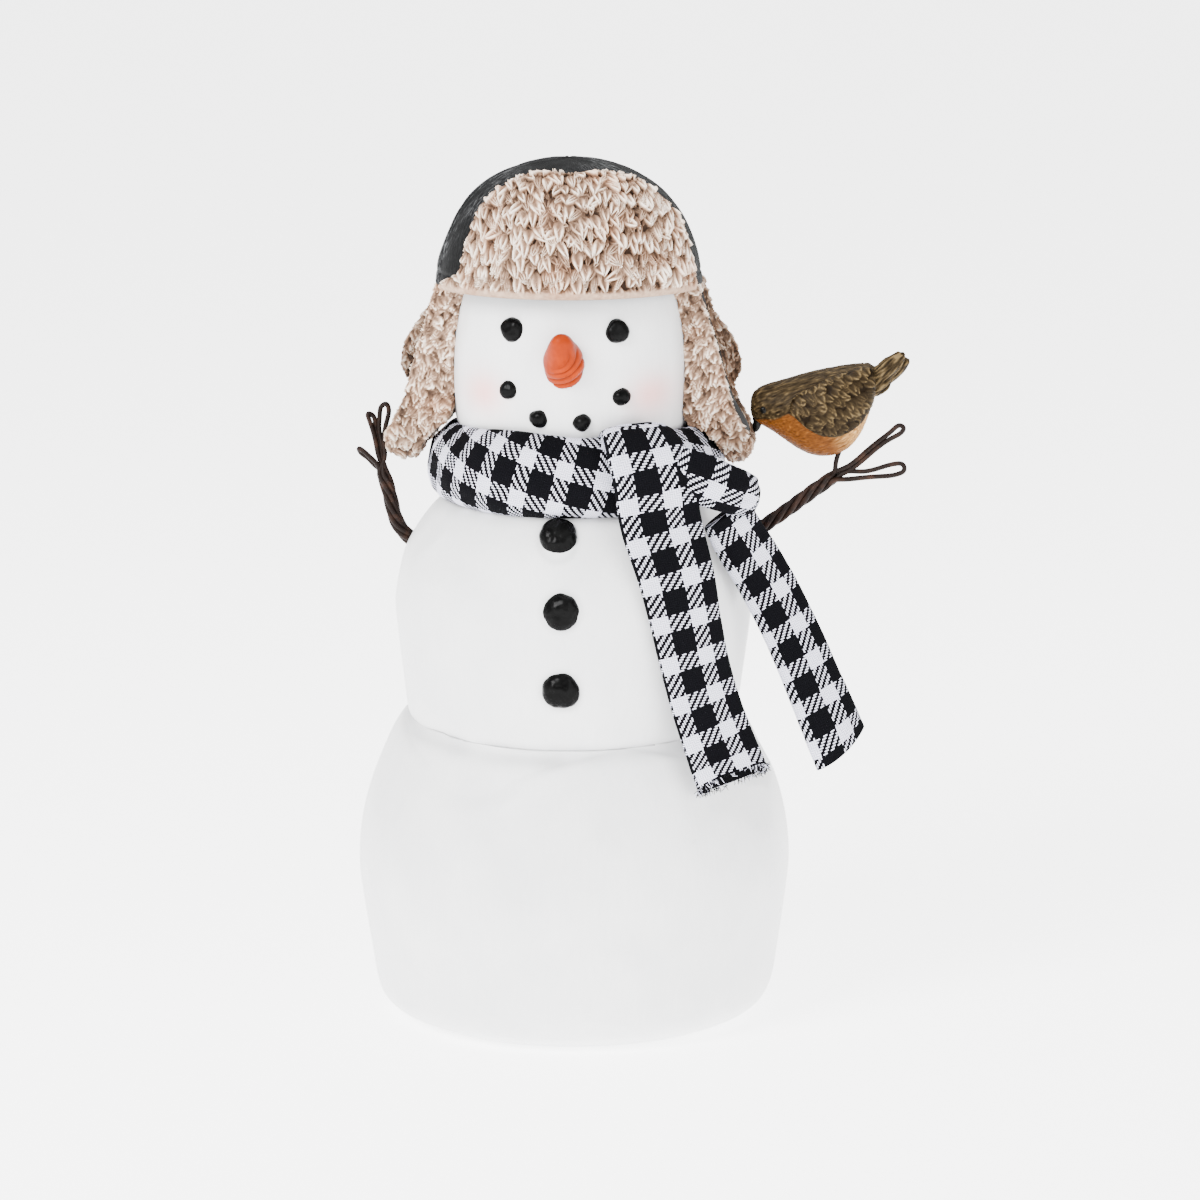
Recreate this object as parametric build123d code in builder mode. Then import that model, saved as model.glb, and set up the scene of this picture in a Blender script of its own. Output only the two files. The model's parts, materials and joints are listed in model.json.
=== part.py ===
from build123d import *
import os
from math import atan, cos, hypot, radians, sin, sqrt, tan

# A cast snowman ornament: two stacked body balls, a head under a trapper hat, a woven
# scarf with two hanging tails, two twisted wire arms and a small robin on the right one.
# Millimetres. +Z is up, the snowman looks along -Y, and the origin is the middle of the
# felt pad's underside.

# ---------------------------------------------------------------- driving dimensions
PAD_RADIUS = 44.0
PAD_THICKNESS = 0.8

UPPER_Y = -3.0  # the torso, head and hat stand this far in front of the base ball
SEAM_Z = 157.5  # top of the torso and underside of the head

BASE_OUTLINE = [(47, 0.8), (52.6, 3.6), (57.3, 17), (60.6, 45), (58.3, 61.5), (53, 76), (46, 87), (36, 91)]
TORSO_OUTLINE = [
    (14, 74), (34, 77), (44.8, 84), (47.4, 94), (49.5, 111), (48, 129), (41, 142), (31.5, 152), (23, 157.5),
]
HEAD_OUTLINE = [
    (24, 157.5), (28.7, 161), (31.8, 167), (33.4, 176), (33.6, 184), (32.8, 196), (30.4, 206.5), (25, 216),
    (12, 222.5),
]
HEAD_TOP_Z = 223.0

PLUG_RADIUS = 30.0
PLUG_THICKNESS = 5.0
CAVITY_OUTLINE = [(46, 11), (52.6, 30), (53, 45), (47, 57), (34, 62)]

WAIST_DOWEL = (6.0, 64.5, 92.0)  # radius, bottom, top
NECK_DOWEL = (4.0, 145.0, 172.0)
GLUE_GAP = 0.1  # radial room around a glued pin

HAT_X = -1.0  # the hat sits a little towards the snowman's right
HAT_TURN = 12.5  # and is turned a little towards its left
CROWN_RIM_Z = 207.0
CROWN_OUTLINE = [(37, 207), (36.6, 211), (35.4, 216), (32.7, 223), (26.8, 231.5), (16, 238.4), (6, 240.9)]
CROWN_TOP_Z = 241.2
BRIM_THICKNESS = 5.0
BRIM_HALF_OUTLINE = [(33.4, 207.6), (32.8, 215), (30.6, 225), (24, 233.2), (13, 237.6), (0, 238.8)]
BRIM_SIDE_GAP = 8.0  # the brim starts this far in front of the hat's middle

FLAP_FRONT_Y = -14.0
FLAP_BACK_Y = 11.0
FLAP_TOP_Z = 206.9
FLAP_OUTER = [(-36.5, 206.9), (-39.5, 197), (-43.3, 184), (-47, 172), (-51.2, 162.5), (-48, 157.4)]
FLAP_INNER = [(-48, 157.4), (-41.5, 158.8), (-36, 166), (-31, 178), (-26, 206.9)]
FLAP_MIRROR = Plane.YZ.offset(-0.7)
COVER_THICKNESS = 1.2
COVER_INSET = 4.0
NECK_FLAP_OUTER = [(38.4, 206.9), (43.2, 196), (49.8, 182), (48.5, 177.3)]
NECK_FLAP_INNER = [(48.5, 177.3), (44, 178), (37.4, 188), (31, 206.9)]

NOSE_RADIUS = 5.6
NOSE_LENGTH = 14.0
NOSE_PITCH = 38.0  # degrees the carrot points upwards
EYE_RADIUS = 3.5
MOUTH_COAL_RADIUS = 2.6
BUTTON_RADIUS = 5.2
SEAT_DEPTH = 0.9  # how far a coal or button is sunk into its pocket
PEG_LENGTH = 4.0

WRAP_OUTER = [(38.4, 146.6), (42.4, 149.6), (43.5, 155), (42.5, 161.5), (39.5, 166.3), (34.3, 168.8)]
WRAP_INNER_RADIUS = 26.0
TAIL_WIDTH = 20.5
TAIL_THICKNESS = 5.0
CROSSOVER_WIDTH = 23.5
CROSSOVER_THICKNESS = 4.0
FRONT_TAIL_TURN = 28.0  # which way the front tail faces, measured from -Y towards +X
SIDE_TAIL_TURN = 34.0
# stations of the scarf's tails: height, shift along the cloth's width, distance from the neck's axis
CROSSOVER_STATIONS = [(153.6, 4.9, 47.0), (159, 4, 46.8), (164, 3, 45.0), (168.5, 2, 40.5)]
FRONT_TAIL_STATIONS = [
    (147.5, 5.6, 46.8), (135, 8.2, 50.6), (118, 11.4, 52.8), (98, 16.2, 53.6), (76, 24, 55.2),
]
SIDE_TAIL_STATIONS = [
    (142, 25.5, 45.0), (133, 31.5, 45.2), (119, 39.2, 47.2), (98, 48, 50.6), (76, 56.6, 53.8),
]
KNOT_CENTRE = (44.8, -29.0, 153.0)
KNOT_SIZE = (9.5, 6.7)  # half its length along the wrap, and its radius
KNOT_TURN = 60.0

WIRE_RADIUS = 0.55
PAIR_HALF_GAP = 0.62  # half the pitch of the two strands of one folded wire
SHAFT_PITCH = 1.3  # pitch of the folded wires side by side in a shaft
ARM_Y = -3.0
SOCKET_RADIUS = 2.0
SOCKET_DEPTH = 11.0
BEND_GAP = 2.5  # from the bend's centre to the first of the free wires
LEFT_SHOULDER = (-45.7, 134.0)
LEFT_SHAFT = [(-48.6, 136.4), (-51, 143.5), (-53.2, 151)]
LEFT_FINGERS = {
    "low": [(-57, 157), (-59.8, 158.8)],
    "middle": [(-55.8, 159.5), (-57.2, 168.3)],
    "high": [(-54.1, 159.5), (-53, 171)],
}
RIGHT_SHOULDER = (45.7, 134.0)
RIGHT_SHAFT = [(53, 139.4), (62, 145.6), (70, 152)]
RIGHT_UPPER_FINGER = [(78.2, 157.4), (91, 167)]
RIGHT_LOOP_UNDER = [(75, 151.2), (84, 151.6), (90.6, 153.6)]
RIGHT_LOOP_OVER = [(88.8, 157), (82, 154.6), (75, 152.4)]
LEG_FOOT = (72.3, 155.6)
LEG_TOP = (74.9, 164.5)

BIRD_Y = ARM_Y
BIRD_HOLE_GAP = 0.05
# stations of the robin's body: distance along X, underside, back, width
BIRD_STATIONS = [
    (49.4, 171.4, 174.6, 3.4),
    (51.6, 168.2, 178, 9),
    (57, 165, 180, 14),
    (63, 161, 181.8, 18),
    (70, 159.2, 183.6, 20),
    (76.5, 161.6, 184.8, 18),
    (81.5, 169.5, 185, 12.5),
    (84, 177, 184, 7),
]
WING_THICKNESS = 1.2
WING_ROOT_GAP = 1.2  # the two wings stay this far from the middle of the back
WING_REACH = 13.0
WING_OUTLINE = [(62.5, 172.5), (66.5, 166.8), (73, 165.3), (79.5, 169.5), (82.5, 176), (83, 184), (72, 181)]
TAIL_ROOT = (82.0, 179.6)
TAIL_TIP = (92.0, 187.2)
BEAK_ROOT = (52.4, 171.0)
BEAK_TIP = (50.9, 165.6)
BIRD_EYE = (52.8, 4.6, 172.0)  # along X, sideways from the middle, height
BIRD_EYE_RADIUS = 1.0



# ------------------------------------------------------------------------- helpers
def front_plane(x=0.0, y=0.0):
    """Upright plane whose local x is +X and local y is +Z, through the line at (x, y)."""
    return Plane(origin=(x, y, 0), x_dir=(1, 0, 0), z_dir=(0, -1, 0))


def turned(outline, bottom, top, x=0.0, y=0.0):
    """Solid of revolution about the upright line at (x, y), its outline given as (radius, height)."""
    with BuildPart() as form:
        with BuildSketch(front_plane(x, y)):
            with BuildLine():
                curve = Spline(*outline)
                Polyline(curve @ 1, (0, top), (0, bottom), curve @ 0)
            make_face()
        revolve(axis=Axis((x, y, 0), (0, 0, 1)))
    return form.part


def ring(outer, inner_radius, x, y):
    """Ring of revolution with a curved outer side and a straight inner side."""
    with BuildPart() as form:
        with BuildSketch(front_plane(x, y)):
            with BuildLine():
                curve = Spline(*outer)
                Polyline(curve @ 1, (inner_radius, outer[-1][1]), (inner_radius, outer[0][1]), curve @ 0)
            make_face()
        revolve(axis=Axis((x, y, 0), (0, 0, 1)))
    return form.part


def cylinder(plane, radius, length):
    """Round bar from a plane along its normal."""
    with BuildPart() as bar:
        with BuildSketch(plane):
            Circle(radius)
        extrude(amount=length)
    return bar.part


def radius_at(outline, height):
    """Radius of an outline at a height, read between its points."""
    for (r0, z0), (r1, z1) in zip(outline, outline[1:]):
        if z0 <= height <= z1:
            return r0 + (r1 - r0) * (height - z0) / (z1 - z0)
    raise ValueError("height outside the outline")


def surface_plane(outline, x, height):
    """Plane on the front of an upper ball at (x, height); its normal points out of the ball."""
    radius = radius_at(outline, height)
    slope = atan((radius_at(outline, height - 1) - radius_at(outline, height + 1)) / 2)
    depth = sqrt(radius**2 - x**2)
    outward = Vector(x / radius, -depth / radius, 0)
    normal = outward * cos(slope) + Vector(0, 0, sin(slope))
    sideways = Vector(depth / radius, x / radius, 0)
    return Plane(origin=(x, UPPER_Y - depth, height), x_dir=sideways, z_dir=normal)


def save(part, name):
    """Label a finished piece and write it to its own file."""
    part.label = name
    export_step(part, f"parts/{name}.step")


os.makedirs("parts", exist_ok=True)

# --------------------------------------------------------------- plain ball forms
base_form = turned(BASE_OUTLINE, PAD_THICKNESS, BASE_OUTLINE[-1][1])
torso_form = turned(TORSO_OUTLINE, TORSO_OUTLINE[0][1], SEAM_Z, 0, UPPER_Y)
head_form = turned(HEAD_OUTLINE, SEAM_Z, HEAD_TOP_Z, 0, UPPER_Y)
crown_form = turned(CROWN_OUTLINE, CROWN_RIM_Z, CROWN_TOP_Z, HAT_X, UPPER_Y)
wrap_form = ring(WRAP_OUTER, WRAP_INNER_RADIUS, 0, UPPER_Y)


# ---------------------------------------------------- coal pieces, buttons and nose
def coal(plane, radius, height):
    """Domed coal lump with a peg behind it, and the pocket it is glued into."""
    peg_radius = radius * 0.35
    side = Plane(origin=plane.origin, x_dir=plane.x_dir, z_dir=plane.x_dir.cross(plane.z_dir))
    with BuildPart() as lump:
        with BuildSketch(side):
            with BuildLine():
                Polyline(
                    (0, -SEAT_DEPTH - PEG_LENGTH),
                    (peg_radius, -SEAT_DEPTH - PEG_LENGTH),
                    (peg_radius, -SEAT_DEPTH),
                    (radius, -SEAT_DEPTH),
                )
                Spline(
                    (radius, -SEAT_DEPTH),
                    (radius * 0.78, height * 0.62),
                    (0, height),
                    tangents=[(0, 1), (-1, 0)],
                )
                Line((0, height), (0, -SEAT_DEPTH - PEG_LENGTH))
            make_face()
        revolve(axis=Axis(plane.origin, plane.z_dir))
    with BuildPart() as pocket:
        with BuildSketch(plane.offset(-SEAT_DEPTH)):
            Circle(radius + GLUE_GAP)
        extrude(amount=height)
        with BuildSketch(plane.offset(-SEAT_DEPTH)):
            Circle(peg_radius + GLUE_GAP)
        extrude(amount=-PEG_LENGTH - GLUE_GAP)
    return lump.part, pocket.part


HEAD_COALS = {
    "eye_left": (-13.8, 197.6, EYE_RADIUS, 2.4),
    "eye_right": (14.9, 197.4, EYE_RADIUS, 2.4),
    "mouth_coal_1": (-14.9, 181.0, MOUTH_COAL_RADIUS, 2.0),
    "mouth_coal_2": (-6.5, 173.4, MOUTH_COAL_RADIUS, 2.0),
    "mouth_coal_3": (5.4, 172.5, MOUTH_COAL_RADIUS, 2.0),
    "mouth_coal_4": (16.0, 179.4, MOUTH_COAL_RADIUS, 2.0),
}
TORSO_BUTTONS = {
    "button_top": (-0.3, 141.6),
    "button_middle": (1.3, 123.4),
    "button_bottom": (1.1, 101.6),
}

head_pockets = []
for coal_name, (coal_x, coal_z, coal_radius, coal_height) in HEAD_COALS.items():
    piece, pocket_part = coal(surface_plane(HEAD_OUTLINE, coal_x, coal_z), coal_radius, coal_height)
    save(piece, coal_name)
    head_pockets.append(pocket_part)

torso_pockets = []
for button_name, (button_x, button_z) in TORSO_BUTTONS.items():
    piece, pocket_part = coal(surface_plane(TORSO_OUTLINE, button_x, button_z), BUTTON_RADIUS, 2.8)
    save(piece, button_name)
    torso_pockets.append(pocket_part)

# The nose is a short carrot that points out and upwards, pegged straight into the face.
NOSE_ROOT = surface_plane(HEAD_OUTLINE, 0.7, 188.6)
nose_dir = Vector(0, -cos(radians(NOSE_PITCH)), sin(radians(NOSE_PITCH)))
nose_side = Plane(origin=NOSE_ROOT.origin, x_dir=(1, 0, 0), z_dir=Vector(1, 0, 0).cross(nose_dir))
peg_plane = Plane(origin=NOSE_ROOT.origin + Vector(0, 1, 0), z_dir=(0, 1, 0))

with BuildPart() as nose_carrot:
    with BuildSketch(nose_side):
        with BuildLine():
            Polyline((0, -4), (NOSE_RADIUS, -4), (NOSE_RADIUS, 1))
            Spline((NOSE_RADIUS, 1), (4.6, 6), (2.6, 12), (0, NOSE_LENGTH), tangents=[(0, 1), (-1, 0)])
            Line((0, NOSE_LENGTH), (0, -4))
        make_face()
    revolve(axis=Axis(NOSE_ROOT.origin, nose_dir))
    add(head_form, mode=Mode.SUBTRACT)
    with BuildSketch(peg_plane.offset(-2.5)):
        Circle(1.8)
    extrude(amount=2.5 + PEG_LENGTH)
save(nose_carrot.part, "nose_carrot")
head_pockets.append(cylinder(peg_plane.offset(-2.5), 1.8 + GLUE_GAP, 2.6 + PEG_LENGTH))


# ------------------------------------------------------------- body balls and base
def dowel(size):
    """Round wooden pin and the slightly wider hole it is glued into."""
    radius, bottom, top = size
    floor = Plane(origin=(0, UPPER_Y, bottom))
    hole_floor = Plane(origin=(0, UPPER_Y, bottom - GLUE_GAP))
    return cylinder(floor, radius, top - bottom), cylinder(
        hole_floor, radius + GLUE_GAP, top - bottom + 2 * GLUE_GAP
    )


waist_dowel, waist_hole = dowel(WAIST_DOWEL)
neck_dowel, neck_hole = dowel(NECK_DOWEL)
save(waist_dowel, "waist_dowel")
save(neck_dowel, "neck_dowel")

with BuildPart() as felt_pad:
    with BuildSketch():
        Circle(PAD_RADIUS)
    extrude(amount=PAD_THICKNESS)
save(felt_pad.part, "felt_pad")

with BuildPart() as base_plug:
    with BuildSketch(Plane.XY.offset(PAD_THICKNESS)):
        Circle(PLUG_RADIUS - GLUE_GAP)
    extrude(amount=PLUG_THICKNESS)
    chamfer(base_plug.edges().group_by(Axis.Z)[-1], 0.6)
save(base_plug.part, "base_plug")

with BuildPart() as cavity:
    with BuildSketch(front_plane()):
        with BuildLine():
            mouth_top = PAD_THICKNESS + PLUG_THICKNESS
            wall = Spline(*CAVITY_OUTLINE)
            Polyline(wall @ 1, (0, CAVITY_OUTLINE[-1][1]), (0, PAD_THICKNESS), (PLUG_RADIUS, PAD_THICKNESS))
            Polyline((PLUG_RADIUS, PAD_THICKNESS), (PLUG_RADIUS, mouth_top + 1), wall @ 0)
        make_face()
    revolve(axis=Axis.Z)

with BuildPart() as base_ball:
    add(base_form)
    add(torso_form, mode=Mode.SUBTRACT)
    add(cavity.part, mode=Mode.SUBTRACT)
    add(waist_hole, mode=Mode.SUBTRACT)
save(base_ball.part, "base_ball")


def socket_plane(side):
    """Plane at a shoulder whose normal runs into the torso along the arm's first stretch."""
    shoulder, shaft = (LEFT_SHOULDER, LEFT_SHAFT) if side < 0 else (RIGHT_SHOULDER, RIGHT_SHAFT)
    run = Vector(shoulder[0] - shaft[0][0], 0, shoulder[1] - shaft[0][1])
    return Plane(origin=(shoulder[0], ARM_Y, shoulder[1]), z_dir=run)


with BuildPart() as torso_ball:
    add(torso_form)
    add([waist_hole, neck_hole], mode=Mode.SUBTRACT)
    for torso_pocket in torso_pockets:
        add(torso_pocket, mode=Mode.SUBTRACT)
    for side in (-1, 1):
        add(cylinder(socket_plane(side).offset(-4), SOCKET_RADIUS, SOCKET_DEPTH + 4), mode=Mode.SUBTRACT)
save(torso_ball.part, "torso_ball")

with BuildPart() as head:
    add(head_form)
    add(neck_hole, mode=Mode.SUBTRACT)
    for head_pocket in head_pockets:
        add(head_pocket, mode=Mode.SUBTRACT)
save(head.part, "head")

# ----------------------------------------------------------------------------- hat
with BuildPart() as hat_crown:
    add(crown_form)
    add(head_form, mode=Mode.SUBTRACT)
save(hat_crown.part, "hat_crown")

brim_skin_outline = [(r + BRIM_THICKNESS, z) for r, z in CROWN_OUTLINE[:3]]
brim_skin_outline += [(r + BRIM_THICKNESS * 0.8, z + BRIM_THICKNESS * 0.6) for r, z in CROWN_OUTLINE[3:5]]
brim_skin_outline += [(r, z + BRIM_THICKNESS) for r, z in CROWN_OUTLINE[5:]]
brim_skin = turned(brim_skin_outline, CROWN_RIM_Z, CROWN_TOP_Z + BRIM_THICKNESS, HAT_X, UPPER_Y)
brim_front = Plane(
    origin=(HAT_X, UPPER_Y, 0),
    x_dir=(cos(radians(HAT_TURN)), sin(radians(HAT_TURN)), 0),
    z_dir=(sin(radians(HAT_TURN)), -cos(radians(HAT_TURN)), 0),
)

with BuildPart() as hat_brim:
    add(brim_skin)
    with BuildSketch(brim_front.offset(BRIM_SIDE_GAP)):
        with BuildLine():
            right = Spline(*BRIM_HALF_OUTLINE, tangents=[(0, 1), (-1, 0)])
            left = Spline(*[(-u, z) for u, z in BRIM_HALF_OUTLINE], tangents=[(0, 1), (1, 0)])
            Line(left @ 0, right @ 0)
        make_face()
    extrude(amount=60, mode=Mode.INTERSECT)
    add(crown_form, mode=Mode.SUBTRACT)
save(hat_brim.part, "hat_brim")


def tongue(inset):
    """Bar along X whose section is an ear flap seen from the side, drawn in by an inset."""
    top = FLAP_TOP_Z - inset * 0.75
    front = FLAP_FRONT_Y + inset
    back = FLAP_BACK_Y - inset * 0.5
    middle = (front + back) / 2
    bottom = FLAP_INNER[0][1] + inset
    with BuildPart() as bar:
        with BuildSketch(Plane.YZ.offset(-70)):
            with BuildLine():
                Polyline((back, 180), (back, top), (front, top), (front, 176))
                Spline(
                    (front, 176),
                    (middle - 7, bottom + 2.4),
                    (middle, bottom),
                    (middle + 7.5, bottom + 3),
                    (back, 180),
                    tangents=[(0, -1), (0, 1)],
                )
            make_face()
        extrude(amount=140)
    return bar.part


def flap_slab(shift=0.0):
    """Left ear flap seen from the front, drawn through the whole depth of the hat."""
    with BuildPart() as slab:
        with BuildSketch(front_plane(shift, 30)):
            with BuildLine():
                outer = Spline(*FLAP_OUTER)
                inner = Spline(*FLAP_INNER)
                Line(inner @ 1, outer @ 0)
            make_face()
        extrude(amount=60)
    return slab.part


def ear_flap(side):
    """Fleece flap with the thin cloth cover let into its outer face."""
    whole, shifted = flap_slab(), flap_slab(COVER_THICKNESS)
    if side > 0:
        whole, shifted = mirror(whole, about=FLAP_MIRROR), mirror(shifted, about=FLAP_MIRROR)
    with BuildPart() as cover:
        add(whole)
        add(tongue(COVER_INSET), mode=Mode.INTERSECT)
        add([shifted, wrap_form], mode=Mode.SUBTRACT)
    with BuildPart() as fleece:
        add(whole)
        add(tongue(0), mode=Mode.INTERSECT)
        add([head_form, wrap_form, cover.part], mode=Mode.SUBTRACT)
    return fleece.part, cover.part


for side, side_name in ((-1, "left"), (1, "right")):
    flap_fleece, flap_cover = ear_flap(side)
    save(flap_fleece, f"ear_flap_{side_name}_fleece")
    save(flap_cover, f"ear_flap_{side_name}_cover")

with BuildPart() as neck_flap_fleece:
    with BuildSketch(front_plane(-2, UPPER_Y)):
        with BuildLine():
            outer = Spline(*NECK_FLAP_OUTER)
            inner = Spline(*NECK_FLAP_INNER)
            Line(inner @ 1, outer @ 0)
        make_face()
    revolve(axis=Axis((-2, UPPER_Y, 0), (0, 0, 1)))
    split(bisect_by=Plane(origin=(0, FLAP_BACK_Y + 0.4, 0), z_dir=(0, 1, 0)), keep=Keep.TOP)
    add(head_form, mode=Mode.SUBTRACT)
save(neck_flap_fleece.part, "neck_flap_fleece")

with BuildPart() as neck_flap_cover:
    with BuildSketch(front_plane(-2, UPPER_Y)):
        with BuildLine():
            inner = Spline(*NECK_FLAP_OUTER)
            shifted = [(r + COVER_THICKNESS, z) for r, z in NECK_FLAP_OUTER]
            outer = Spline(*shifted)
            Line(inner @ 0, outer @ 0)
            Line(inner @ 1, outer @ 1)
        make_face()
    revolve(axis=Axis((-2, UPPER_Y, 0), (0, 0, 1)))
    split(bisect_by=Plane(origin=(0, FLAP_BACK_Y + COVER_INSET, 0), z_dir=(0, 1, 0)), keep=Keep.TOP)
    split(bisect_by=Plane.XY.offset(NECK_FLAP_OUTER[2][1] + COVER_INSET), keep=Keep.TOP)
save(neck_flap_cover.part, "neck_flap_cover")


# --------------------------------------------------------------------------- scarf
def cloth_frame(turn):
    """Unit vectors along the cloth's width and out of its face, for cloth facing a given way."""
    angle = radians(turn)
    return Vector(cos(angle), sin(angle), 0), Vector(sin(angle), -cos(angle), 0)


def cloth_centres(stations, turn):
    """Middle points of a flattened scarf tube from its stations."""
    across, outward = cloth_frame(turn)
    return [Vector(0, UPPER_Y, z) + across * shift + outward * distance for z, shift, distance in stations]


def cloth_tube(stations, turn, width, thickness):
    """Flattened tube of cloth lofted through its stations."""
    across, outward = cloth_frame(turn)
    centres = cloth_centres(stations, turn)
    with BuildPart() as tube:
        for index, centre in enumerate(centres):
            before = centres[max(index - 1, 0)]
            after = centres[min(index + 1, len(centres) - 1)]
            run = (after - before).normalized()
            broad = (across - run * across.dot(run)).normalized()
            with BuildSketch(Plane(origin=centre, x_dir=broad, z_dir=run)):
                Ellipse(width / 2, thickness / 2)
        loft()
    return tube.part


with BuildPart() as scarf_wrap:
    add(wrap_form)
    add([torso_form, head_form], mode=Mode.SUBTRACT)
save(scarf_wrap.part, "scarf_wrap")

save(
    cloth_tube(CROSSOVER_STATIONS, FRONT_TAIL_TURN, CROSSOVER_WIDTH, CROSSOVER_THICKNESS),
    "scarf_crossover",
)
save(
    cloth_tube(FRONT_TAIL_STATIONS, FRONT_TAIL_TURN, TAIL_WIDTH, TAIL_THICKNESS),
    "scarf_front_tail",
)
save(
    cloth_tube(SIDE_TAIL_STATIONS, SIDE_TAIL_TURN, TAIL_WIDTH, TAIL_THICKNESS),
    "scarf_side_tail",
)

knot_along, knot_out = cloth_frame(KNOT_TURN)
with BuildPart() as scarf_knot:
    with BuildSketch(Plane(origin=KNOT_CENTRE, x_dir=knot_along, z_dir=knot_out)):
        Ellipse(*KNOT_SIZE)
        Rectangle(2 * KNOT_SIZE[0], KNOT_SIZE[1], align=(Align.CENTER, Align.MIN), mode=Mode.INTERSECT)
    revolve(axis=Axis(KNOT_CENTRE, knot_along))
save(scarf_knot.part, "scarf_knot")


# ---------------------------------------------------------------------------- arms
def corner_radii(points):
    """Bend radius for each corner, from the shorter run beside it and the turn it makes."""
    radii = []
    for before, corner, after in zip(points, points[1:], points[2:]):
        run_in = corner - before
        run_out = after - corner
        turn = radians(run_in.get_angle(run_out))
        radii.append(0.45 * min(run_in.length, run_out.length) / tan(turn / 2))
    return radii


def beside(points, distance):
    """Points of an upright polyline moved sideways by a distance, corner by corner."""
    moved = []
    for index, (x, z) in enumerate(points):
        x0, z0 = points[max(index - 1, 0)]
        x1, z1 = points[min(index + 1, len(points) - 1)]
        length = hypot(x1 - x0, z1 - z0)
        moved.append((x - distance * (z1 - z0) / length, z + distance * (x1 - x0) / length))
    return moved


def shoulder_start(shoulder, shaft):
    """First point of the free wires, a bend's gap away from the shoulder."""
    run = hypot(shaft[0][0] - shoulder[0], shaft[0][1] - shoulder[1])
    share = BEND_GAP / run
    return (
        shoulder[0] + (shaft[0][0] - shoulder[0]) * share,
        shoulder[1] + (shaft[0][1] - shoulder[1]) * share,
    )


def round_wire(points):
    """Bent round wire through a list of points."""
    with BuildPart() as wire:
        with BuildLine() as path:
            FilletPolyline(*points, radius=corner_radii(points))
        with BuildSketch(Plane(origin=points[0], z_dir=points[1] - points[0])):
            Circle(WIRE_RADIUS)
        sweep(path=path.wire())
    return wire.part


def folded_wire(points):
    """Wire folded in half at its tip, its two strands one behind the other."""
    rear = [Vector(x, ARM_Y + PAIR_HALF_GAP, z) for x, z in points]
    front = [Vector(x, ARM_Y - PAIR_HALF_GAP, z) for x, z in points]
    heading = (rear[-1] - rear[-2]).normalized()
    tip = (rear[-1] + front[-1]) * 0.5 + heading * PAIR_HALF_GAP
    with BuildPart() as wire:
        with BuildLine() as path:
            FilletPolyline(*rear, radius=corner_radii(rear))
            ThreePointArc(rear[-1], tip, front[-1])
            FilletPolyline(*reversed(front), radius=corner_radii(front)[::-1])
        with BuildSketch(Plane(origin=rear[0], z_dir=rear[1] - rear[0])):
            Circle(WIRE_RADIUS)
        sweep(path=path.wire())
    return wire.part


left_shaft = [shoulder_start(LEFT_SHOULDER, LEFT_SHAFT)] + LEFT_SHAFT[1:]
for lane, (finger, route) in enumerate(LEFT_FINGERS.items(), start=-1):
    points = beside(left_shaft, -lane * SHAFT_PITCH) + route
    save(folded_wire(points), f"left_arm_wire_{finger}")

right_shaft = [shoulder_start(RIGHT_SHOULDER, RIGHT_SHAFT)] + RIGHT_SHAFT[1:]
save(folded_wire(beside(right_shaft, 0) + RIGHT_UPPER_FINGER), "right_arm_wire_upper")

lower = beside(right_shaft, -SHAFT_PITCH)
loop_points = [Vector(x, ARM_Y + PAIR_HALF_GAP, z) for x, z in lower]
loop_points += [Vector(x, ARM_Y, z) for x, z in RIGHT_LOOP_UNDER + RIGHT_LOOP_OVER]
save(round_wire(loop_points), "right_arm_wire_loop")

leg_points = [Vector(x, ARM_Y, z) for x, z in beside(right_shaft, SHAFT_PITCH)[:-1] + [LEG_FOOT, LEG_TOP]]
save(round_wire(leg_points), "bird_leg_wire")

for side, side_name in ((-1, "left"), (1, "right")):
    with BuildPart() as arm_root:
        add(cylinder(socket_plane(side), SOCKET_RADIUS - GLUE_GAP, SOCKET_DEPTH - GLUE_GAP))
        fillet(arm_root.edges().sort_by(Axis.X)[-1 if side > 0 else 0], 0.8)
    save(arm_root.part, f"{side_name}_arm_root")


# --------------------------------------------------------------------------- robin
def bird_form(growth):
    """Robin's body lofted through its stations, with its skin moved out by a growth."""
    with BuildPart() as form:
        for x, under, back, width in BIRD_STATIONS:
            middle = (under + back) / 2
            with BuildSketch(Plane(origin=(x, BIRD_Y, middle), x_dir=(0, 1, 0), z_dir=(1, 0, 0))):
                Ellipse(width / 2 + growth, (back - under) / 2 + growth * 0.3)
        loft()
    return form.part


leg_run = Vector(LEG_TOP[0] - LEG_FOOT[0], 0, LEG_TOP[1] - LEG_FOOT[1]).normalized()
leg_plane = Plane(origin=(LEG_FOOT[0], BIRD_Y, LEG_FOOT[1]), z_dir=leg_run)
leg_length = hypot(LEG_TOP[0] - LEG_FOOT[0], LEG_TOP[1] - LEG_FOOT[1])

with BuildPart() as bird_body:
    add(bird_form(0))
    add(cylinder(leg_plane, WIRE_RADIUS + BIRD_HOLE_GAP, leg_length + 0.5), mode=Mode.SUBTRACT)
save(bird_body.part, "bird_body")


def wing(side):
    """Folded wing: a thin scale over the body's skin, inside the wing's outline."""
    near = BIRD_Y - WING_ROOT_GAP if side < 0 else BIRD_Y + WING_ROOT_GAP + WING_REACH
    with BuildPart() as scale_part:
        with BuildSketch(front_plane(0, near)):
            with BuildLine():
                Spline(*WING_OUTLINE, periodic=True)
            make_face()
        extrude(amount=WING_REACH)
        add(bird_form(WING_THICKNESS), mode=Mode.INTERSECT)
        add(bird_form(0), mode=Mode.SUBTRACT)
    return scale_part.part


save(wing(-1), "bird_wing_left")
save(wing(1), "bird_wing_right")

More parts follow.
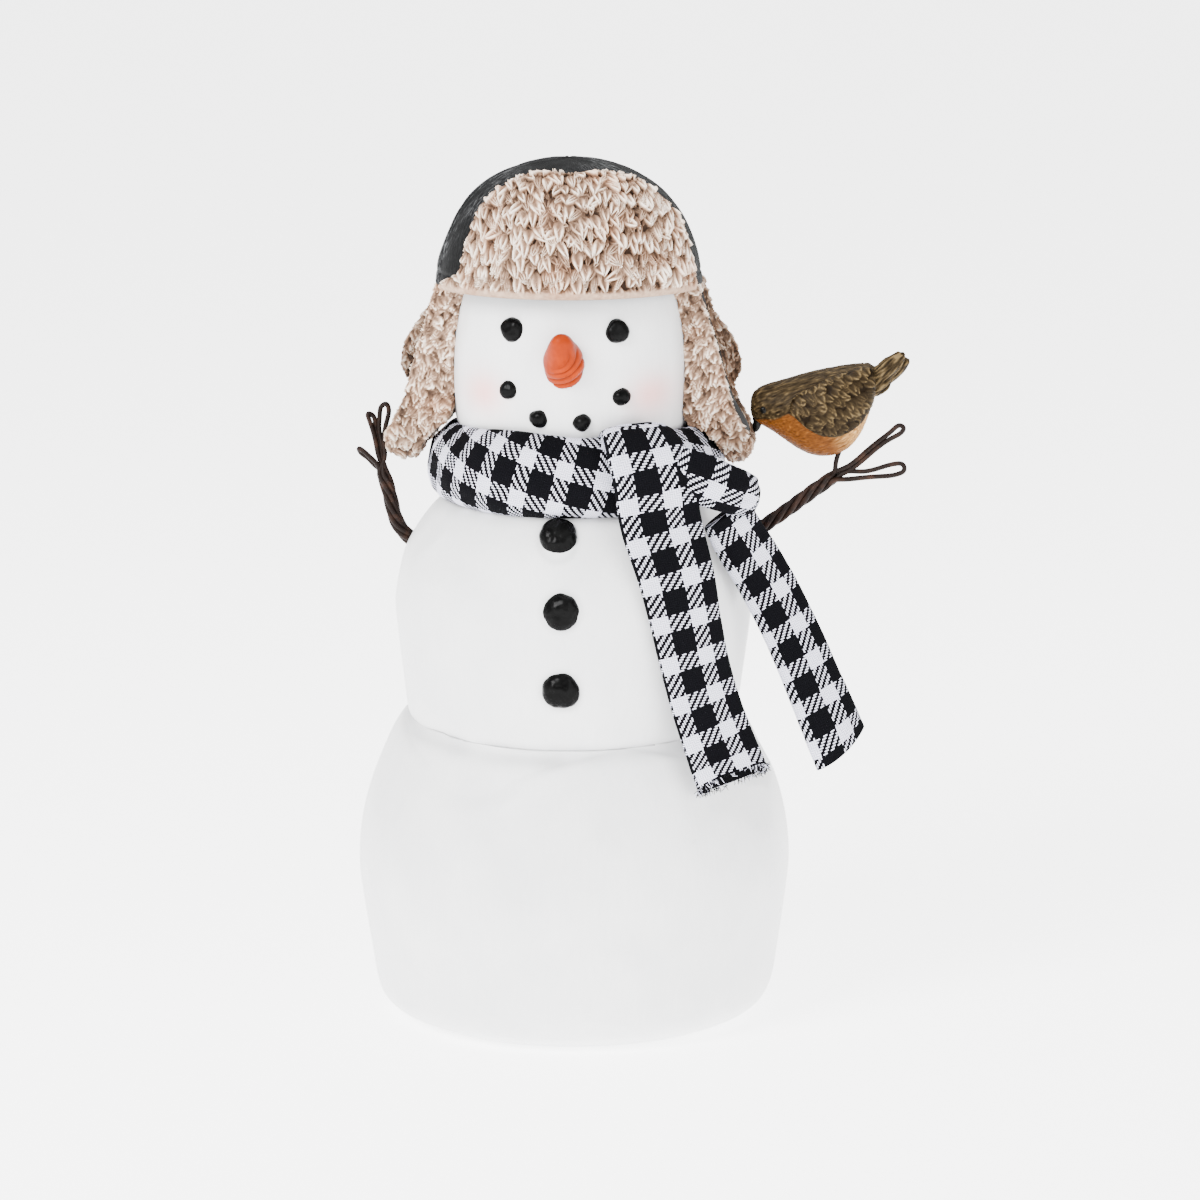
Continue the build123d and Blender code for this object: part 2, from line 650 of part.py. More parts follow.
with BuildPart() as bird_tail:
    tail_run = Vector(TAIL_TIP[0] - TAIL_ROOT[0], 0, TAIL_TIP[1] - TAIL_ROOT[1])
    for share, width, depth in ((0, 5, 4.4), (0.55, 7, 4.2), (1, 5.2, 2.4)):
        centre = Vector(TAIL_ROOT[0], BIRD_Y, TAIL_ROOT[1]) + tail_run * share
        with BuildSketch(Plane(origin=centre, x_dir=(0, 1, 0), z_dir=tail_run)):
            Ellipse(width / 2, depth / 2)
    loft()
    add(bird_form(0), mode=Mode.SUBTRACT)
save(bird_tail.part, "bird_tail")

with BuildPart() as bird_beak:
    beak_run = Vector(BEAK_TIP[0] - BEAK_ROOT[0], 0, BEAK_TIP[1] - BEAK_ROOT[1])
    with BuildSketch(Plane(origin=(BEAK_ROOT[0], BIRD_Y, BEAK_ROOT[1]), x_dir=(0, 1, 0), z_dir=beak_run)):
        Circle(1.7)
    with BuildSketch(Plane(origin=(BEAK_TIP[0], BIRD_Y, BEAK_TIP[1]), x_dir=(0, 1, 0), z_dir=beak_run)):
        Circle(0.45)
    loft()
    add(bird_form(0), mode=Mode.SUBTRACT)
save(bird_beak.part, "bird_beak")

for side, side_name in ((-1, "left"), (1, "right")):
    with BuildPart() as bird_eye:
        with Locations((BIRD_EYE[0], BIRD_Y + side * BIRD_EYE[1], BIRD_EYE[2])):
            Sphere(BIRD_EYE_RADIUS)
        add(bird_form(0), mode=Mode.SUBTRACT)
    save(bird_eye.part, f"bird_eye_{side_name}")
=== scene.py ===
import json
import math
import bpy
import numpy as np
from mathutils import Euler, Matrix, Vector, noise
from mathutils.bvhtree import BVHTree


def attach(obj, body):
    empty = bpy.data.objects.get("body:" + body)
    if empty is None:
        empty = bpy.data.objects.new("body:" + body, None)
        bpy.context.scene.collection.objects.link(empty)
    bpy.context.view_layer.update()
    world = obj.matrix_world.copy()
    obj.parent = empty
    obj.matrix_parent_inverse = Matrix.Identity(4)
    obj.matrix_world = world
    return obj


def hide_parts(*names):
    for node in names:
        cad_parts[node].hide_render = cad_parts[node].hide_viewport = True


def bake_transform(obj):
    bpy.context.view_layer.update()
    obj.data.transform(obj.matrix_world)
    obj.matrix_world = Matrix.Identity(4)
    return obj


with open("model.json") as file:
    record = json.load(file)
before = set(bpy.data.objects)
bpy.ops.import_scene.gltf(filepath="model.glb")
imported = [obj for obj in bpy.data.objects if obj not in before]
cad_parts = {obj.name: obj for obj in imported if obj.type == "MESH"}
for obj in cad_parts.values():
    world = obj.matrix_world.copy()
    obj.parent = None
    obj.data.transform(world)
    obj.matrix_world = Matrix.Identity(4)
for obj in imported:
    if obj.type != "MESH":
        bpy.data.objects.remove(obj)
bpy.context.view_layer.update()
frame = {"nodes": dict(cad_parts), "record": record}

# Snowman ornament. Shapes are worked out in millimetres and turned into metres when a
# mesh is made. +Z is up and the snowman looks along -Y.
MM = 0.001
UPPER_Y = -3.0  # the torso, head and hat stand this far in front of the base ball

# Turned outlines as (radius, height)
BASE_OUTLINE = [(47, 0.8), (52.6, 3.6), (57.3, 17), (60.6, 45), (58.3, 61.5), (53, 76), (46, 87), (36, 91)]
TORSO_OUTLINE = [
    (14, 74), (34, 77), (44.8, 84), (47.4, 94), (49.5, 111), (48, 129), (41, 142), (31.5, 152), (23, 157.5),
]
HEAD_OUTLINE = [
    (24, 157.5), (28.7, 161), (31.8, 167), (33.4, 176), (33.6, 184), (32.8, 196), (30.4, 206.5), (25, 216),
    (12, 222.5),
]
CROWN_OUTLINE = [
    (37, 207), (36.6, 211), (35.4, 216), (32.7, 223), (26.8, 231.5), (16, 238.4), (6, 240.9), (0.5, 241.2),
]
SEAM_RADIUS = 46.5

HAT_X = -1.0
CROWN_FOOT = 207.0
CROWN_SEAMS = [-74, 68, 124, 180, 236]  # degrees from the front
CROWN_HEM = 3.4  # height of the stitched groove above the foot
BRIM_MIDDLE = 12.5  # degrees from the front
BRIM_THICKNESS = 5.0
BRIM_TUFTS = 2.9  # how far the tufts rise within the thickness
# Where the brim's sides are, in degrees from the front, for points (radius, left, right) of the crown
BRIM_SIDES = [
    (37, 62, 68), (36.8, 55, 67.5), (36.5, 46, 67), (34, 45.5, 68), (32, 46, 69), (29, 46, 67), (25.8, 42, 62),
    (23, 36, 56), (20.5, 29, 45), (18.3, 16, 26),
]

WRAP_SECTION = [
    (37.9, 147.0), (42.0, 149.6), (43.3, 155), (42.3, 161.5), (39.2, 166.3), (35.4, 168.6),
    (33.4, 167.4), (33.2, 162), (33.6, 156.5), (35.2, 151.2),
]
FRONT_TURN = 28.0
SIDE_TURN = 34.0
# The scarf's loose strips as (height, shift to the right, distance outwards)
CROSSOVER_STATIONS = [
    (168.8, 2.0, 35.2), (170.3, 2.2, 38.2), (167.6, 2.6, 42.6), (162, 3.4, 46.0), (155, 4.6, 47.3),
]
FRONT_TAIL_STATIONS = [
    (147.5, 5.6, 47.6), (135, 8.2, 50.8), (118, 11.4, 52.8), (98, 16.2, 53.6), (76, 24, 55.2),
]
SIDE_TAIL_STATIONS = [
    (147, 22.5, 45.6), (142, 25.5, 45.4), (133, 31.5, 45.4), (119, 39.2, 47.2), (98, 48, 50.6),
    (79.5, 55.3, 53.3),
]
KNOT_PATH = [
    (31, -38.5, 160.4), (37, -37.2, 158.4), (43, -34, 155.4), (48.2, -29.0, 152.8), (49.6, -24, 150.4),
    (46.0, -21, 148.2),
]
BUTTON_RADIUS = 5.2
BUTTONS = {"button_top": (-0.3, 141.6), "button_middle": (1.3, 123.4), "button_bottom": (1.1, 101.6)}
BLUSH_PLACES, BLUSH_HEIGHT, BLUSH_SIZE = (-22.0, 23.5), 179.5, 5.6
WIRE_RADIUS = 0.68
SHAFT_WIRE_RADIUS = 0.74
WIRE_RIB = 0.29  # pitch of the fine ribs along the coated wire
WORLD_LIGHT = 1.3
BACKGROUND = 7.5
FLOOR_GLOW = 3.4
THREAD = 0.58  # pitch of the scarf's threads
STRIPE_THREADS = 9.5  # threads in a black or a white stripe


# ------------------------------------------------------------------ shape helpers
def spline(points, count):
    """Evenly spaced points along a natural cubic spline through the given points."""
    p = np.array(points, float)
    t = np.concatenate([[0], np.cumsum(np.linalg.norm(np.diff(p, axis=0), axis=1))])
    n = len(p)
    a = np.eye(n)
    b = np.zeros_like(p)
    for i in range(1, n - 1):
        h0, h1 = t[i] - t[i - 1], t[i + 1] - t[i]
        a[i, i - 1 : i + 2] = h0, 2 * (h0 + h1), h1
        b[i] = 6 * ((p[i + 1] - p[i]) / h1 - (p[i] - p[i - 1]) / h0)
    m = np.linalg.solve(a, b)
    fine = np.linspace(0, t[-1], 40 * n)
    k = np.clip(np.searchsorted(t, fine, side="right") - 1, 0, n - 2)
    h = (t[k + 1] - t[k])[:, None]
    u, v = (t[k + 1] - fine)[:, None], (fine - t[k])[:, None]
    q = m[k] * u**3 / (6 * h) + m[k + 1] * v**3 / (6 * h)
    q += (p[k] / h - m[k] * h / 6) * u + (p[k + 1] / h - m[k + 1] * h / 6) * v
    s = np.concatenate([[0], np.cumsum(np.linalg.norm(np.diff(q, axis=0), axis=1))])
    even = np.linspace(0, s[-1], count)
    return np.stack([np.interp(even, s, q[:, c]) for c in range(p.shape[1])], axis=1)


def lengths(points):
    """Distance along a row of points."""
    return np.concatenate([[0], np.cumsum(np.linalg.norm(np.diff(points, axis=0), axis=1))])


def unit(v):
    return v / np.maximum(np.linalg.norm(v, axis=-1, keepdims=True), 1e-9)


def clamp(value):
    return np.clip(value, 0, 1)


def smoothstep(low, high, value):
    t = clamp((value - low) / (high - low))
    return t * t * (3 - 2 * t)


def bell(distance, width):
    """1 at no distance, falling softly to nothing over about twice the width."""
    return np.exp(-((distance / width) ** 2))


def dome(rise):
    """Quarter circle: 0 at 0 and below, level with 1 at 1 and above."""
    return np.sqrt(1 - (1 - clamp(rise)) ** 2)


def circle(count):
    """Even angles once round, in radians."""
    return np.linspace(0, 2 * math.pi, count, endpoint=False)


def turned(a, b, degrees):
    """Coordinates a and b seen from axes turned by an angle."""
    angle = math.radians(degrees)
    return a * math.cos(angle) + b * math.sin(angle), b * math.cos(angle) - a * math.sin(angle)


def toned(field, middle, contrast):
    """Field shifted and stretched to a middle and a contrast, for painting."""
    return middle + contrast * (field - field.mean()) / field.std()


def tube(line, side, up, wide, tall):
    """Rings of points about a line, as far as wide along side and tall along up."""
    return line[:, None, :] + side[:, None, :] * wide[..., None] + up[:, None, :] * tall[..., None]


def at_height(line, height):
    """The point of a line nearest a height, in metres."""
    return Vector(line[np.argmin(np.abs(line[:, 2] - height))]) * MM


def sample(points, scale, offset=0.0):
    """Soft noise at points, -1 to 1; scale is the size of its bumps along each axis."""
    q = np.asarray(points).reshape(-1, 3) / np.asarray(scale, float) + offset
    values = np.array([noise.noise(v) for v in q.tolist()])
    return values.reshape(np.asarray(points).shape[:-1])


def new_object(name, mesh):
    obj = bpy.data.objects.new(name, mesh)
    bpy.context.collection.objects.link(obj)
    return obj


def build(name, verts, faces, uv=None):
    """Object from points in millimetres, faces, and one UV pair for each face corner."""
    mesh = bpy.data.meshes.new(name)
    mesh.from_pydata((np.asarray(verts) * MM).tolist(), [], faces)
    if uv is not None:
        layer = mesh.uv_layers.new(name="UVMap")
        layer.data.foreach_set("uv", np.asarray(uv, np.float32).ravel())
    mesh.shade_smooth()
    mesh.update()
    return new_object(name, mesh)


def set_attribute(obj, name, values):
    """One number from 0 to 1 for each point, for the materials to read."""
    data = obj.data.attributes.new(name, "FLOAT", "POINT")
    data.data.foreach_set("value", clamp(np.asarray(values, np.float32)))


def skin(name, rings, along=None, around=None, closed=False, check=(0.0, 0.0, 1)):
    """Object through rings of points. Each ring is closed; the row of rings is closed or capped.

    check moves the cloth's pattern along and around, and the third number turns it over.
    """
    n, m = rings.shape[:2]
    along = lengths(rings.mean(axis=1)) if along is None else along
    if around is None:
        middle = rings[n // 2]
        around = lengths(np.vstack([middle, middle[:1]]))
    if closed:
        step = np.linalg.norm(rings[0] - rings[-1], axis=1).mean()
        along = np.append(along, along[-1] + step)
    verts = rings.reshape(-1, 3)
    faces, uv = [], []
    for i in range(n if closed else n - 1):
        i2 = (i + 1) % n
        for j in range(m):
            j2 = (j + 1) % m
            faces.append((i * m + j, i * m + j2, i2 * m + j2, i2 * m + j))
            uv += [(along[i], around[j]), (along[i], around[j + 1])]
            uv += [(along[i + 1], around[j + 1]), (along[i + 1], around[j])]
    if not closed:
        verts = np.vstack([verts, rings[0].mean(axis=0), rings[-1].mean(axis=0)])
        for end, (ring, pole) in enumerate(((0, n * m), (n - 1, n * m + 1))):
            for j in range(m):
                a, b = ring * m + j, ring * m + (j + 1) % m
                faces.append((pole, b, a) if end == 0 else (pole, a, b))
                uv += [(along[ring], around[j])] * 3
    uv = np.array(uv) * (1, check[2]) + check[:2]
    return build(name, verts, faces, uv * MM)


def surface_of(obj):
    """Points and normals of a mesh."""
    points = np.zeros(len(obj.data.vertices) * 3)
    normals = points.copy()
    obj.data.vertices.foreach_get("co", points)
    obj.data.vertex_normals.foreach_get("vector", normals)
    return points.reshape(-1, 3) / MM, normals.reshape(-1, 3)


def move_points(obj, points):
    obj.data.vertices.foreach_set("co", (np.asarray(points) * MM).ravel())
    obj.data.update()


def baked(obj, name, modifiers):
    """New object with the modifiers applied, given as (type, settings) pairs."""
    for kind, settings in modifiers:
        modifier = obj.modifiers.new(kind, kind)
        for key, value in settings.items():
            setattr(modifier, key, value)
    graph = bpy.context.evaluated_depsgraph_get()
    mesh = bpy.data.meshes.new_from_object(obj.evaluated_get(graph))
    bpy.data.objects.remove(obj)
    mesh.shade_smooth()
    return new_object(name, mesh)


def remeshed(name, source, voxel, rounding=4):
    """Even skin over one closed mesh, its edges rounded."""
    copy = new_object("source", source.copy())
    steps = [("REMESH", {"mode": "VOXEL", "voxel_size": voxel * MM, "use_smooth_shade": True})]
    steps.append(("SMOOTH", {"factor": 0.5, "iterations": rounding}))
    return baked(copy, name, steps)


def from_node(name, node, voxel, rounding=4):
    """Sculptable copy of a CAD piece."""
    return remeshed(name, frame["nodes"][node].data, voxel, rounding)


def blobs(name, balls, voxel, rounding=6):
    """One closed skin over ellipsoids given as (middle, half sizes, pitch in degrees)."""
    verts, faces = [], []
    rings, columns = 24, 40
    for middle, half, pitch in balls:
        turn = np.array(Euler((0, math.radians(-pitch), 0)).to_matrix())
        start = len(verts)
        for i in range(rings + 1):
            lat = math.pi * i / rings
            for j in range(columns):
                lon = 2 * math.pi * j / columns
                p = np.array([math.sin(lat) * math.cos(lon), math.sin(lat) * math.sin(lon), math.cos(lat)])
                verts.append(turn @ (p * half) + middle)
        for i in range(rings):
            for j in range(columns):
                a, b = start + i * columns + j, start + i * columns + (j + 1) % columns
                faces.append((a, a + columns, b + columns, b))
    ball = build(name + "_raw", verts, faces)
    mesh = ball.data
    bpy.data.objects.remove(ball)
    return remeshed(name, mesh, voxel, rounding)


def tuft_field(a, b, size, drop, seed, lean=0.0, spread=20.0, hollow=0.62, blunt=1.0):
    """Overlapping pointed leaves over a sheet with coordinates a and b, tips towards -b. 0 to 1.

    Each leaf has raised edges and a hollow between them, and some have a ridge down the middle.
    """
    rng = np.random.default_rng(seed)
    width, length = size
    field = np.zeros_like(a)
    rows = np.arange(b.min() - length, b.max() + length, drop)
    for row, b0 in enumerate(rows[::-1]):
        for a0 in np.arange(a.min() - width, a.max() + width, width * 0.86):
            centre_a = a0 + (row % 2) * width * 0.43 + rng.normal(0, 0.24) * width
            centre_b = b0 + rng.normal(0, 0.2) * length
            angle = math.radians(lean + rng.normal(0, spread))
            wide = width * rng.uniform(0.8, 1.35)
            tall = length * rng.uniform(0.75, 1.25)
            lift = rng.uniform(0.72, 1.0)
            ridge = rng.random() < 0.4
            da, db = a - centre_a, b - centre_b
            near = (np.abs(da) < tall) & (np.abs(db) < tall)
            if not near.any():
                continue
            da, db = da[near], db[near]
            side = da * math.cos(angle) + db * math.sin(angle)
            down = 0.5 - (db * math.cos(angle) - da * math.sin(angle)) / tall
            t = np.clip(down, 0.001, 0.999)
            half = 0.5 * wide * (4 * t * (1 - t)) ** 0.4 * (1.15 - blunt * t * t)
            x = np.abs(side) / np.maximum(half, 0.02)
            dip = np.sin(math.pi * np.clip(x * (2 if ridge else 1) + (0 if ridge else 0.5), 0, 2))
            dip = np.abs(dip) if ridge else clamp(dip)
            edge = (clamp((1 - x) / 0.22) * clamp((1 - down) / 0.1)) ** 0.6
            height = (0.25 + 0.75 * t) * edge * (1 - hollow * dip * np.sqrt(t))
            height = np.where((down > 0) & (down < 1) & (x < 1), height * lift, 0)
            field[near] = np.maximum(field[near], height)
    return field


# --------------------------------------------------------------- materials, nodes
class Paint:
    """Small helper that grows a material's node tree."""

    def __init__(self, name, roughness=0.5, **inputs):
        self.material = bpy.data.materials.new(name)
        self.material.use_nodes = True
        self.tree = self.material.node_tree
        self.bsdf = self.tree.nodes["Principled BSDF"]
        self.bsdf.inputs["Roughness"].default_value = roughness
        for key, value in inputs.items():
            self.bsdf.inputs[key.replace("_", " ")].default_value = value

    def node(self, kind, **settings):
        node = self.tree.nodes.new("ShaderNode" + kind)
        for key, value in settings.items():
            setattr(node, key, value)
        return node

    def put(self, socket, value):
        """Link an output to a socket, or set the socket's own number or colour."""
        if isinstance(value, bpy.types.NodeSocket):
            self.tree.links.new(value, socket)
        elif isinstance(value, tuple) and len(value) == 3 and socket.type == "RGBA":
            socket.default_value = (*value, 1)
        else:
            socket.default_value = value

    def math(self, operation, a, b=0.0, c=0.0):
        node = self.node("Math", operation=operation)
        for socket, value in zip(node.inputs, (a, b, c)):
            self.put(socket, value)
        return node.outputs[0]

    def times(self, a, b):
        return self.math("MULTIPLY", a, b)

    def plus(self, a, b):
        return self.math("ADD", a, b)

    def object_point(self, scale=(1, 1, 1), source="Object"):
        mapping = self.node("Mapping")
        self.put(mapping.inputs["Vector"], self.node("TexCoord").outputs[source])
        mapping.inputs["Scale"].default_value = scale
        return mapping.outputs[0]

    def sheet_place(self):
        """How far along and across its own cloth or wire a point is, in metres."""
        split = self.node("SeparateXYZ")
        self.put(split.inputs[0], self.node("TexCoord").outputs["UV"])
        return split.outputs[0], split.outputs[1]

    def noise(self, vector, scale, detail=3.0, roughness=0.5):
        node = self.node("TexNoise")
        self.put(node.inputs["Vector"], vector)
        node.inputs["Scale"].default_value = scale
        node.inputs["Detail"].default_value = detail
        node.inputs["Roughness"].default_value = roughness
        return node.outputs["Fac"]

    def attribute(self, name):
        return self.node("Attribute", attribute_name=name).outputs["Fac"]

    def grainy_relief(self, grain, amount):
        """The sculpted relief with a little noise on it."""
        return self.plus(self.attribute("relief"), self.times(self.math("SUBTRACT", grain, 0.5), amount))

    def ramp(self, factor, stops):
        node = self.node("ValToRGB")
        self.put(node.inputs[0], factor)
        elements = node.color_ramp.elements
        while len(elements) < len(stops):
            elements.new(0.5)
        for element, (position, colour) in zip(elements, stops):
            element.position = position
            element.color = (*colour, 1)
        return node.outputs[0]

    def mix(self, factor, a, b, blend="MIX"):
        node = self.node("Mix", data_type="RGBA", blend_type=blend)
        self.put(node.inputs[0], factor)
        self.put(node.inputs[6], a)
        self.put(node.inputs[7], b)
        return node.outputs[2]

    def spread(self, factor, low, high):
        """Factor stretched so that low becomes 0 and high becomes 1."""
        node = self.node("MapRange")
        self.put(node.inputs[0], factor)
        node.inputs[1].default_value = low
        node.inputs[2].default_value = high
        return node.outputs[0]

    def bump(self, height, distance, strength=1.0):
        node = self.node("Bump")
        self.put(node.inputs["Height"], height)
        node.inputs["Distance"].default_value = distance * MM
        node.inputs["Strength"].default_value = strength
        self.put(self.bsdf.inputs["Normal"], node.outputs[0])

    def finish(self, colour, roughness=None):
        self.put(self.bsdf.inputs["Base Color"], colour)
        if roughness is not None:
            self.put(self.bsdf.inputs["Roughness"], roughness)
        return self.material


def white_paint():
    p = Paint("snow_paint", 0.42, Specular_IOR_Level=0.25)
    point = p.object_point()
    mottle = p.spread(p.noise(point, 45, 4), 0.35, 0.7)
    strokes = p.noise(p.object_point((1, 1, 0.12)), 900, 4, 0.6)
    base = p.mix(mottle, (0.75, 0.755, 0.76), (0.84, 0.84, 0.835))
    fine = p.spread(strokes, 0.3, 0.75)
    base = p.mix(p.times(fine, 0.3), base, (0.68, 0.685, 0.70))
    # This mix paints shade: the white turns grey where the balls are marked as shaded, in creases, under the
    # brim and scarf, round the buttons and at the floor.
    shaded = p.mix(p.attribute("painted_shade"), base, (0.20, 0.205, 0.215))
    blush = p.mix(p.times(p.attribute("blush"), 0.75), shaded, (0.86, 0.40, 0.37))
    height = p.plus(p.times(strokes, 0.5), p.noise(point, 260, 3))
    p.bump(height, 0.16, 0.6)
    return p.finish(blush, p.spread(mottle, -1.2, 3.2))


def hat_paint():
    p = Paint("hat_paint", 0.65, Specular_IOR_Level=0.05)
    streak = p.noise(p.object_point((0.25, 1, 1), "UV"), 1500, 5, 0.65)
    patch = p.noise(p.object_point(), 70, 3)
    dry = p.times(p.spread(streak, 0.46, 0.6), p.spread(patch, 0.35, 0.6))
    dry = p.plus(p.times(dry, 0.75), p.times(p.attribute("relief"), 0.38))
    stops = [(0, (0.003, 0.0031, 0.0033)), (0.35, (0.012, 0.0124, 0.0128)), (1, (0.10, 0.102, 0.104))]
    p.bump(p.plus(streak, patch), 0.25, 0.6)
    return p.finish(p.ramp(dry, stops))


def fleece_paint():
    p = Paint("fleece_paint", 0.55, Specular_IOR_Level=0.08)
    fine = p.noise(p.object_point(), 900, 4)
    relief = p.grainy_relief(fine, 0.3)
    stops = [
        (0.0, (0.034, 0.019, 0.012)),
        (0.22, (0.095, 0.056, 0.036)),
        (0.45, (0.235, 0.145, 0.095)),
        (0.68, (0.52, 0.37, 0.27)),
        (0.9, (0.87, 0.76, 0.65)),
    ]
    colour = p.ramp(relief, stops)
    tint = p.spread(p.noise(p.object_point(), 110, 2), 0.45, 0.7)
    warm = p.mix(1.0, colour, (0.80, 0.60, 0.47), "MULTIPLY")
    colour = p.mix(p.times(tint, 0.6), colour, warm)
    # Painted shade: the fleece is multiplied towards a dark grey where the flaps are marked as shaded.
    shade_grey = p.mix(1.0, colour, (0.30, 0.29, 0.28), "MULTIPLY")
    colour = p.mix(p.attribute("flap_shade"), colour, shade_grey)
    p.bump(fine, 0.15, 0.6)
    return p.finish(colour)


def grainy_paint(name, scale, stops, bump, roughness=0.5, detail=4, strength=0.6, shine=0.5):
    """Plain coat whose colour and skin follow one fine noise."""
    p = Paint(name, roughness, Specular_IOR_Level=shine)
    grain = p.noise(p.object_point(), scale, detail)
    p.bump(grain, bump, strength)
    return p, grain, p.finish(p.ramp(grain, stops))


def coal_paint():
    stops = [(0.3, (0.0012, 0.0012, 0.0012)), (0.8, (0.004, 0.004, 0.004))]
    p, lumps, material = grainy_paint("coal_paint", 420, stops, 0.35, 0.3, 3, 0.5, 0.04)
    p.put(p.bsdf.inputs["Roughness"], p.spread(lumps, -0.4, 3.0))
    return material


def carrot_paint():
    p = Paint("carrot_paint", 0.4, Specular_IOR_Level=0.05)
    streak = p.noise(p.object_point(), 500, 3)
    tone = p.grainy_relief(streak, 0.4)
    stops = [(0, (0.10, 0.011, 0.001)), (0.5, (0.21, 0.0195, 0.0008)), (1, (0.37, 0.037, 0.001))]
    p.bump(streak, 0.1, 0.4)
    return p.finish(p.ramp(tone, stops))


def wire_paint():
    p = Paint("wire_paint", 0.5, Specular_IOR_Level=0.08)
    rust = p.spread(p.noise(p.object_point(), 330, 4), 0.48, 0.72)
    colour = p.mix(rust, (0.0075, 0.0042, 0.0032), (0.026, 0.0125, 0.008))
    across = p.sheet_place()[1]
    ribs = p.math("SINE", p.times(across, 2 * math.pi / (WIRE_RIB * MM)))
    grain = p.noise(p.object_point(), 1600, 3)
    p.bump(p.plus(p.times(ribs, 0.1), grain), 0.1, 0.6)
    return p.finish(colour)


def robin_paint():
    p = Paint("robin_paint", 0.5, Specular_IOR_Level=0.04)
    fine = p.noise(p.object_point(), 1400, 3)
    relief = p.grainy_relief(fine, 0.3)
    brown = [
        (0.1, (0.006, 0.0032, 0.001)),
        (0.5, (0.022, 0.0145, 0.0065)),
        (0.75, (0.048, 0.032, 0.0145)),
        (1, (0.115, 0.078, 0.035)),
    ]
    orange = [
        (0.1, (0.052, 0.016, 0.0025)),
        (0.5, (0.094, 0.030, 0.0055)),
        (0.8, (0.14, 0.046, 0.008)),
        (1, (0.26, 0.105, 0.022)),
    ]
    cream = [(0.1, (0.13, 0.055, 0.014)), (0.6, (0.40, 0.21, 0.065)), (1, (0.72, 0.50, 0.26))]
    front = p.mix(p.attribute("rump"), p.ramp(relief, orange), p.ramp(relief, cream))
    return p.finish(p.mix(p.attribute("breast"), p.ramp(relief, brown), front))


def cloth():
    """Shepherd's check in a two-and-two twill, drawn thread by thread from the cloth's own coordinates."""
    p = Paint("check_cloth", 0.9, Specular_IOR_Level=0.03)
    along, across = p.sheet_place()
    warp = p.math("DIVIDE", across, THREAD * MM)
    weft = p.math("DIVIDE", along, THREAD * MM)
    warp_index, weft_index = p.math("FLOOR", warp), p.math("FLOOR", weft)
    step = p.math("FLOORED_MODULO", p.plus(warp_index, weft_index), 4.0)
    warp_on_top = p.math("LESS_THAN", step, 1.5)

    def white(index):
        phase = p.math("FLOORED_MODULO", index, 2 * STRIPE_THREADS)
        return p.math("LESS_THAN", phase, STRIPE_THREADS - 1.6)

    def on_top(of_warp, of_weft):
        choice = p.node("Mix", data_type="FLOAT")
        for socket, value in zip((0, 2, 3), (warp_on_top, of_weft, of_warp)):
            p.put(choice.inputs[socket], value)
        return choice.outputs[0]

    warp_white, weft_white = white(warp_index), white(weft_index)
    unlike = p.math("ABSOLUTE", p.math("SUBTRACT", warp_white, weft_white))
    fuzz = p.noise(p.object_point(), 2500, 2)
    dark = p.mix(fuzz, (0.0014, 0.0014, 0.0019), (0.0042, 0.0042, 0.0055))
    light = p.mix(fuzz, (0.60, 0.60, 0.72), (0.82, 0.82, 0.92))
    round_thread = on_top(p.math("PINGPONG", warp, 0.5), p.math("PINGPONG", weft, 0.5))
    shade = p.spread(round_thread, 0.0, 0.3)
    gap = p.times(unlike, p.math("LESS_THAN", round_thread, 0.2))
    colour = p.mix(p.times(on_top(warp_white, weft_white), p.math("SUBTRACT", 1.0, gap)), dark, light)
    colour = p.mix(shade, p.mix(1.0, colour, (0.36, 0.36, 0.42), "MULTIPLY"), colour)
    # Painted shade: where marked, the cloth is painted near black, for the shade inside the open end of the
    # tube.
    colour = p.mix(p.attribute("inside"), colour, (0.0022, 0.0022, 0.0028))
    p.bump(round_thread, 0.25, 0.9)
    return p.finish(colour)


BEAK_STOPS = [(0.3, (0.0016, 0.0014, 0.0013)), (0.8, (0.006, 0.0055, 0.005))]
FELT_STOPS = [(0, (0.02, 0.05, 0.03)), (1, (0.05, 0.10, 0.06))]
RUBBER_STOPS = [(0, (0.02, 0.02, 0.02)), (1, (0.05, 0.05, 0.05))]
WOOD_STOPS = [(0, (0.45, 0.29, 0.15)), (1, (0.66, 0.47, 0.28))]
MATERIALS = {
    "body_white": white_paint(),
    "hat_charcoal": hat_paint(),
    "fleece_cream": fleece_paint(),
    "coal_black": coal_paint(),
    "carrot_orange": carrot_paint(),
    "scarf_check": cloth(),
    "wire_brown": wire_paint(),
    "robin_brown": robin_paint(),
    "robin_dark": grainy_paint("beak_paint", 900, BEAK_STOPS, 0.08, 0.25, 2, 0.4, 0.08)[2],
    "felt": grainy_paint("felt_cloth", 1500, FELT_STOPS, 0.3, 0.95)[2],
    "plug_rubber": grainy_paint("plug_rubber", 400, RUBBER_STOPS, 0.1, 0.7)[2],
    "dowel_wood": grainy_paint("dowel_wood", 300, WOOD_STOPS, 0.1, 0.6)[2],
}
for row in frame["record"]["subparts"]:
    cad_mesh = frame["nodes"][row["node"]].data
    cad_mesh.materials.clear()
    cad_mesh.materials.append(MATERIALS[row["material_slot"]])


def place(obj, body, slot, *nodes):
    """Dress a piece, put it on its body and hide the CAD pieces it stands for."""
    obj.data.materials.clear()
    obj.data.materials.append(MATERIALS[slot])
    if nodes:
        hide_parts(*nodes)
    if isinstance(body, str):
        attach(obj, body)
    else:
        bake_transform(obj)
    return obj


